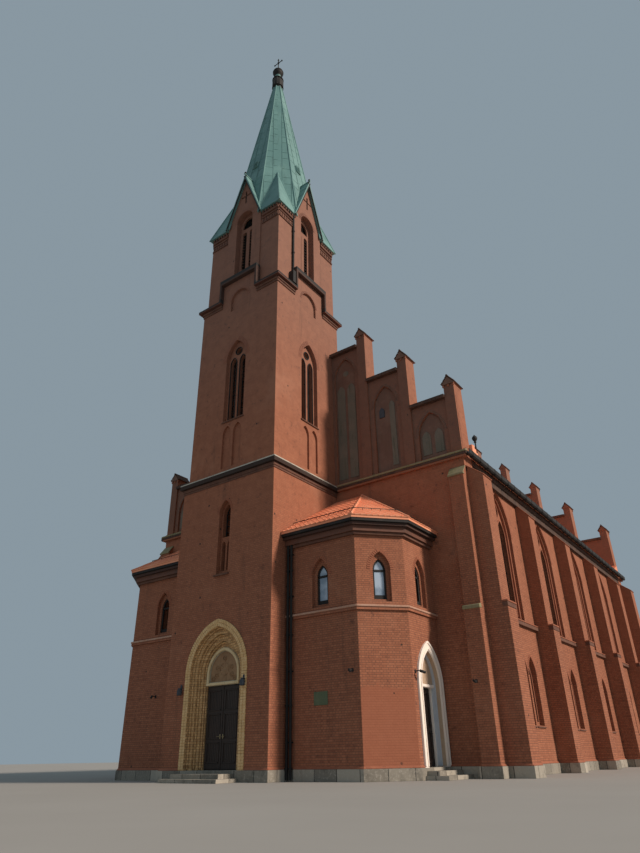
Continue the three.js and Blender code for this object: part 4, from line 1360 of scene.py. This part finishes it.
def makeTowerLedges():
    # plain brick bands step out under both ledges of the tower, painted dark brown as painted shade under
    # the ledges
    low = joined([
        block(-towerHalf - 0.04, towerHalf + 0.04, -0.06, 0.02, 11.96, 12.11, bevel=0.012),
        block(-towerHalf - 0.02, towerHalf + 0.02, -0.03, 0.02, 11.86, 11.96, bevel=0.01),
    ])
    high = joined(bothHalves([
        block(-upperHalf - 0.05, -1.24, -0.1, 0.02, 22.6, 22.74, bevel=0.012),
        block(-upperHalf - 0.03, -1.24, -0.05, 0.02, 22.47, 22.6, bevel=0.01),
    ]))
    parts = onTower(low, towerHalf, windowSides) + onTower(high, upperHalf)
    finished("tower_ledge_bands", parts, "dark_brick")


# portal

portalValues = {
    "floor": 0.4, "spring": 3.8, "course": 0.1, "joint": 0.014,
    "bands": ((1.545, 0.13, 5.67), (1.41, 0.12, 5.52)),  # clear half width, width and peak of each
    "ribs": ((1.4, 5.5, 0.09), (1.2, 5.25, 0.25), (1.0, 4.98, 0.39)),  # half width, peak and depth
}


def makePortalBricks(v):
    floor, spring, course = v["floor"], v["spring"], v["course"]
    parts = []
    for x, wide, peak in v["bands"]:
        parts.append(voussoirs(x, peak, peak - spring, wide, y0=-0.045, y1=-0.02, course=course))
        brick = block(x, x + wide, -0.045, -0.02, floor, floor + course - v["joint"], bevel=0.006)
        parts += bothHalves([row(brick, round((spring - floor) / course), (0, 0, course))])
    finished("portal_band_bricks", parts, "patched_brick")
    # round mouldings in the corners of the stepped arch
    ribs = [archBar(half, floor, peak, peak - spring, 0.075, y, y + 0.08, steps=12, bevel=0.025)
            for half, peak, y in v["ribs"]]
    finished("portal_ribs", ribs, "yellow_brick")


def makeTympanum():
    frame = [
        archBar(0.885, 3.33, 4.745, 0.985, 0.12, 0.38, 0.47, steps=14, bevel=0.025),
        block(-0.89, 0.89, 0.37, 0.47, 3.33, 3.43, bevel=0.015),
    ]
    finished("tympanum_frame", frame, "cream")
    field = archBar(0.74, 3.44, 4.6, 0.84, 0.74, 0.485, 0.505, steps=12)
    finished("tympanum_field", [field], "carved_stone")
    # a plain pattern of rings and leaves fills the field
    middleZ = 3.92
    flat = Matrix.Scale(0.4, 4, (0, 1, 0))
    leaf = turned([(0.012, 0.0), (0.05, 0.09), (0.07, 0.19), (0.05, 0.29), (0.012, 0.38)], sides=8)
    spray = copies(leaf, [shift(0, 0.49, middleZ) @ turnY(60 * i) @ flat for i in range(6)])
    knob = turned([(0.05, 0), (0.045, 0.03), (0.015, 0.05)], sides=10)
    knob = moved(knob, shift(0, 0.5, 0) @ turnX(90))
    flower = joined([roundBar(0.1, 0.025, 0.46, 0.51, 0, sides=16), knob])
    places = [(0, 4.32)]
    for side in (-1, 1):
        places += [(side * 0.4, 3.7), (side * 0.38, 3.98), (side * 0.58, 3.58)]
    flowers = copies(flower, [shift(x, 0, z) for x, z in places])
    pattern = [*spray, roundBar(0.25, 0.03, 0.46, 0.51, middleZ, sides=24), *flowers]
    finished("tympanum_pattern", pattern, "carved_stone", smooth=50)


doorBoards = {"count": 7}
leafPlane = 0.52


# a frame of four bars round a panel, its level ones as high as rail
def panelFrame(sides, levels, rail, y0, y1, bevel, upright=0.04):
    (x0, x1), (z0, z1) = sides, levels
    return [
        *[block(x0, x1, y0, y1, z, z + rail, bevel=bevel) for z in (z0, z1 - rail)],
        *[block(x, x + upright, y0, y1, z0, z1, bevel=bevel) for x in (x0, x1 - upright)],
    ]


# the dressing of one leaf: rails round its panels, boards in them, a kick plate
def leafDressing(v):
    plane = leafPlane
    parts = []
    for low, high in ((0.6, 1.3), (1.42, 2.3), (2.42, 3.15)):
        wide = 0.63 / v["count"]
        board = block(-0.75, -0.75 + wide - 0.008, plane + 0.008, plane + 0.03, low, high, bevel=0.004)
        parts.append(row(board, v["count"], (wide, 0, 0)))
        levels = (low - 0.01, high + 0.01)
        parts += panelFrame((-0.77, -0.1), levels, 0.05, plane - 0.02, plane + 0.01, 0.008)
    parts.append(block(-0.84, -0.04, plane - 0.012, plane + 0.01, 0.4, 0.54, bevel=0.006))
    return joined(parts)


def makeDoorDressing(v):
    left, right = bothHalves([leafDressing(v)])
    cover = block(-0.035, 0.02, leafPlane - 0.02, leafPlane + 0.001, 0.39, 3.3, bevel=0.006)
    finished("portal_leaf_left_boards", [left, cover], "wood", body="portal_leaf_left")
    finished("portal_leaf_right_boards", [right], "wood", body="portal_leaf_right")
    for side, body in ((-1, "portal_leaf_left"), (1, "portal_leaf_right")):
        x = side * 0.075
        plate = block(x - 0.022, x + 0.022, leafPlane - 0.02, leafPlane + 0.002, 1.42, 1.58, bevel=0.006)
        grip = rod((x, leafPlane - 0.06, 1.5), (x + side * 0.13, leafPlane - 0.06, 1.5), 0.011)
        arm = rod((x, leafPlane - 0.06, 1.5), (x, leafPlane, 1.5), 0.011)
        finished(body + "_handle", [plate, grip, arm], "brass", body=body, smooth=40)


# side door

def makeSideDoorTrim():
    to = shift(surroundFront, sideDoorMiddle, 0) @ turnZ(90)
    outer = archBar(0.98, 0.4, 4.59, 1.524, 0.08, -0.035, 0.0, steps=12, bevel=0.015)
    inner = archBar(0.78, 0.4, 4.35, 1.31, 0.06, -0.03, 0.0, steps=12, bevel=0.012)
    lintel = block(-0.66, 0.66, 0.22, 0.36, 2.97, 3.08, bevel=0.02)
    # the inner reveal's blue-grey is painted shade on white plaster
    for name, wide, y0, y1, paint in (
            ("side_door_outer_reveal", 0.015, 0.02, 0.17, "tan_plaster"),
            ("side_door_inner_reveal", 0.04, 0.17, 0.345, "plaster_painted_shade")):
        reveal = archBar(0.698, 0.4, 4.248, 1.21, wide, y0, y1, steps=12, bevel=0.004)
        finished(name, [moved(reveal, to)], paint)
    finished("side_door_mouldings", [moved(joined([outer, inner, lintel]), to)], "plaster")
    panel = archBar(0.655, 3.09, 4.19, 1.07, 0.655, 0.27, 0.34, steps=10, bevel=0.01)
    finished("side_door_panel", [moved(panel, to)], "tan_plaster")
    plane = 0.4
    parts = []
    for low, high in ((0.6, 1.5), (1.65, 2.8)):
        parts += panelFrame((-0.42, 0.42), (low, high), 0.04, plane - 0.015, plane + 0.012, 0.006)
        board = block(-0.36, -0.265, plane + 0.002, plane + 0.02, low + 0.06, high - 0.06, bevel=0.004)
        parts.append(row(board, 7, (0.105, 0, 0)))
    finished("side_leaf_boards", [moved(joined(parts), to)], "wood", body="side_leaf")
    hinge = joined([
        block(-0.53, -0.2, plane - 0.022, plane + 0.002, 0.72, 0.79, bevel=0.006),
        rod((-0.5, plane - 0.03, 0.66), (-0.5, plane - 0.03, 0.85), 0.035, sides=10),
    ])
    straps = row(hinge, 3, (0, 0, 0.93))
    handle = [
        block(0.42, 0.48, plane - 0.02, plane, 1.32, 1.54, bevel=0.005),
        rod((0.45, plane - 0.06, 1.43), (0.33, plane - 0.06, 1.43), 0.012),
        rod((0.45, plane - 0.06, 1.43), (0.45, plane, 1.43), 0.012),
    ]
    finished("side_leaf_fittings", [moved(joined([straps, *handle]), to)], "dark_metal", body="side_leaf")


# sills, caps and the ledge over the plinth

def makeSills():
    low = spaced(wedge(-0.47, 0.47, -0.05, 0.19, 1.66, 1.78, 0.07, bevel=0.01), lancets["places"])
    bay = [wedge(-1.14, 1.14, 0.0, 0.24, 5.96, 6.06, 0.07, bevel=0.01), *low]
    finished("nave_sills", bothHalves(onAllBays(bay)), "dark_brick")
    window = wedge(-0.72, 0.72, -0.06, 0.19, 15.14, 15.27, 0.07, bevel=0.01)
    lancet = wedge(-0.42, 0.42, -0.09, 0.19, 7.58, 7.72, 0.07, bevel=0.01)
    belfry = wedge(-0.66, 0.66, -0.06, 0.3, 24.36, 24.47, 0.05, bevel=0.01)
    tower = [*onTower(window, upperHalf, windowSides), lancet, *onTower(belfry, bayHalf)]
    finished("tower_sills", tower, "dark_brick")


# a slab on a set-back: its lower edge and upper edge as distance out from the wall and height
def capSlab(half, low, high, thick, brow):
    run = low[0] - high[0]
    rise = high[1] - low[1]
    slab = block(-half, half, 0, thick, 0, math.hypot(run, rise), bevel=0.015)
    out, z = low
    parts = [moved(slab, shift(0, -out, z) @ turnX(-heading(rise, run)) @ shift(0, -thick * 0.8, 0))]
    if brow:
        parts.append(block(-half, half, -out - 0.03, -out + 0.1, z - brow, z + 0.04, bevel=0.015))
    return joined(parts)


def makeButtressCaps():
    caps = []
    slabs = []
    bands = []
    before = naveFront
    for start, wide, more in buttresses:
        half = wide / 2 + 0.02
        out = buttressOut - naveHalf + more
        foot = buttressFootOut - naveHalf + more
        place = [naveSide(start + wide / 2)]
        caps += copies(capSlab(half, (out + 0.03, 11.16), (0, 11.9), 0.05, 0.0), place)
        slabs += copies(block(-half, half, -foot - 0.04, -out + 0.02, 5.87, 5.94, bevel=0.012), place)
        bands += copies(block(-half + 0.01, half - 0.01, -foot - 0.02, -out, 5.7, 5.865, bevel=0.008), place)
        if start - before > 0.5:
            along = [naveSide(0)]
            slabs += copies(wedge(before, start, -0.16, 0.0, 5.83, 5.91, 0.03, bevel=0.012), along)
            bands += copies(block(before, start, -0.14, 0.0, 5.67, 5.825, bevel=0.008), along)
        before = start + wide
    # the bands under the sill slabs are painted dark brown: painted shadow under the slabs
    for name, parts, paint in (
            ("buttress_caps", caps, "clay"), ("nave_sill_slabs", slabs, "clay"),
            ("nave_sill_bands", bands, "dark_brick")):
        finished(name, bothHalves(parts), paint)
    corner = joined([
        capSlab(0.37, (0.33, 11.3), (0.0, 11.72), 0.035, 0.05),
        wedge(-0.36, 0.36, -0.49, -0.28, 5.66, 5.86, 0.06, bevel=0.02),
    ])
    corner = moved(corner, shift((cornerIn + cornerOut) / 2, naveFront, 0))
    finished("corner_buttress_caps", bothEnds(bothHalves([corner])), "mossy_stone")


# the walls' outer faces in plan, walked round from the portal along the tower and an annex
def annexPlan(annex, end):
    return [
        (portalEdge, 0), (towerHalf, 0), (towerHalf, annexFront), (annex["corner"], annexFront),
        (annex["side"], annexBend), (annex["side"], end),
    ]


portalEdge = 1.72
ledge = (0.372, 0.46, 0.05, 0.07)  # from one height to another, how far out, and the fall of its top


def ledgeAlong(points, z0, z1, out, drop):
    parts = []
    for (x0, y0), (x1, y1) in zip(points, points[1:]):
        length = math.hypot(x1 - x0, y1 - y0)
        strip = wedge(-out * 0.4, length + out * 0.4, -out, 0.01, z0, z1, drop, bevel=0.008)
        parts.append(moved(strip, shift(x0, y0, 0) @ turnZ(heading(x1 - x0, y1 - y0))))
    return parts


def makePlinthLedge():
    front = ledgeAlong(annexPlan(rightAnnex, sideDoorMiddle - 1.0), *ledge)
    sides = []
    before = naveFront
    for start, wide, more in buttresses:
        out = buttressFootOut + more
        points = [(naveHalf, start), (out, start), (out, start + wide), (naveHalf, start + wide)]
        if start - before > 0.5:
            points.insert(0, (naveHalf, before))
        before = start + wide
        sides += ledgeAlong(points, *ledge)
    sides += ledgeAlong([(rightAnnex["side"], naveFront - 0.02), (cornerIn, naveFront - 0.02)], *ledge)
    sides += ledgeAlong([(cornerIn, 4.3), (cornerOut, 4.3), (cornerOut, naveFront)], *ledge)
    leftFront = ledgeAlong(annexPlan(leftAnnex, naveFront), *ledge)
    back = ledgeAlong([(cornerOut, naveBack), (-cornerOut, naveBack)], *ledge)
    finished("plinth_ledge", [*front, *bothHalves(sides), *onSide(leftFront, True), *back], "clay")


# eaves, pipes and small fittings

def makeNaveEaves():
    bracket = block(-0.015, 0.015, -0.2, 0.0, 12.15, 12.18, bevel=0.005)
    strap = joined([bracket, block(-0.015, 0.015, -0.2, -0.185, 12.15, 12.43, bevel=0.005)])
    line = moved(row(strap, 34, (0.82, 0, 0)), shift(eavesOut, naveFront + 0.3, 0) @ turnZ(90))
    finished("gutter_brackets", bothHalves([line]), "dark_metal")
    start = naveFront + gableThick + 0.01
    end = naveBack - gableThick - 0.01
    # the cornice bands are painted near black: partly their dark brown brick, partly painted shade under the
    # eaves
    cornice = joined([
        block(start, end, -0.165, 0.0, 11.74, 12.04, bevel=0.01),
        block(start, end, -0.235, 0.0, 12.04, 12.31, bevel=0.01),
    ])
    finished("nave_cornice_faces", bothHalves([moved(cornice, naveSide(0))]), "dark_tile")
    # tiles turned up against the back of each gable over the eaves
    kneeler = row(wedge(9.3, 9.64, gableThick + 0.01, gableThick + 0.3, 12.5, 13.1, 0.05, bevel=0.02),
                  3, (-0.02, 0.2, -0.12))
    kneeler = moved(kneeler, shift(0, naveFront, 0))
    finished("eaves_end_tiles", bothEnds(bothHalves([kneeler])), "clay_tile")


def makeAnnexEaves(annex, name, mirrored):
    points = [(towerHalf, annexFront), (annex["corner"], annexFront), (annex["side"], annexBend),
              (annex["side"], naveFront)]
    parts = []
    ledges = []
    for (x0, y0), (x1, y1) in zip(points, points[1:]):
        length = math.hypot(x1 - x0, y1 - y0)
        place = shift(x0, y0, 0) @ turnZ(heading(x1 - x0, y1 - y0))
        parts += copies(block(-0.06, length + 0.06, -0.12, 0.02, 8.38, 8.5, bevel=0.012), [place])
        ledges += copies(wedge(-0.03, length + 0.03, -0.1, 0.02, 5.63, 5.73, 0.03, bevel=0.01), [place])
    finished(name + "_eaves_bands", onSide(parts, mirrored), "dark_brick")
    finished(name + "_string_slope", onSide(ledges, mirrored), "pale_brick")


def makeFittings():
    plaque = block(4.08, 4.7, annexFront - 0.03, annexFront, 2.38, 2.84, bevel=0.012)
    finished("annex_plaque", [plaque], "green_plate")
    lamp = [
        block(-0.1, 0.1, -0.17, -0.04, 3.02, 3.24, bevel=0.03),
        block(-0.06, 0.06, -0.14, 0.0, 3.24, 3.3, bevel=0.015),
        block(-0.05, 0.05, -0.03, 0.0, 3.2, 3.42, bevel=0.01),
    ]
    lamps = copies(joined(lamp), [shift(-1.88, 0, 0), shift(1.55, -0.02, 0.14)])
    finished("portal_lamps", lamps, "blue_plate")
    camera = [
        rod((0, 0, 0), (0, -0.22, 0.02), 0.018),
        rod((-0.02, -0.2, 0.0), (0.12, -0.34, -0.06), 0.05, sides=10),
        block(-0.05, 0.05, -0.02, 0.0, -0.06, 0.06, bevel=0.01),
    ]
    spots = [
        shift(5.8, annexFront, 3.45), shift(-4.6, annexFront, 3.2),
        shift(7.43, 2.62, 3.42) @ turnZ(90), shift(9.0, naveFront - 0.45, 3.1),
    ]
    finished("wall_cameras", copies(joined(camera), spots), "dark_metal", smooth=40)


def collar(inner, outer, high):
    return turned([(inner, 0), (outer, 0.01), (outer, high - 0.01), (inner, high)], sides=12)


def makePipeCollars():
    low = [shift(x, annexFront - 0.14, z) for x in (2.93, 3.1) for z in (0.35, 2.4, 4.9, 7.4)]
    high = [shift(belfryHalf + 0.08, towerMiddle - bayWidth - 0.075, z) for z in (24.0, 25.4, 27.0, 28.1)]
    parts = [*copies(collar(0.058, 0.075, 0.08), low), *copies(collar(0.066, 0.084, 0.09), high)]
    finished("pipe_collars", parts, "dark_metal", smooth=40)


makeCamera(cameraValues)
makeLights(lightValues)
paints = makeMaterials()
dressNodes(paints)
makeFloor()
print("frame dressed")

makeTowerArches(towerArches)
makeNaveArches(tallWindow, lancets)
makeAnnexArches()
makeGableArches()
print("arch bricks laid")
makeWindowBars(tallWindow, lancets)
makeAnnexWindows(annexWindow)
makeTowerBars(towerLights)
makeBelfryLouvres(belfryLouvres)
print("windows filled")
makeGableCaps(gableCap)
makeGableBricks()
makeNicheFields()
makeGableStrings()
makeEastBall()
makeNaveTiles(naveTiles)
makeAnnexTiles("annex_right", rightAnnex, annexTiles, False)
makeAnnexTiles("annex_left", leftAnnex, annexTiles, True)
print("gables and roofs covered")
makeSpireSeams(spireSeams)
makeSpireEdges()
makeVerges()
makeSpireHatches(spireHatch)
makeFinial()
makeBelfryFrieze()
makeTowerLedges()
print("spire and belfry dressed")
makePortalBricks(portalValues)
makeTympanum()
makeDoorDressing(doorBoards)
makeSideDoorTrim()
print("doors dressed")
makeSills()
makeButtressCaps()
makePlinthLedge()
makeNaveEaves()
makeAnnexEaves(rightAnnex, "annex_right", False)
makeAnnexEaves(leftAnnex, "annex_left", True)
makeFittings()
makePipeCollars()
print("trim added")
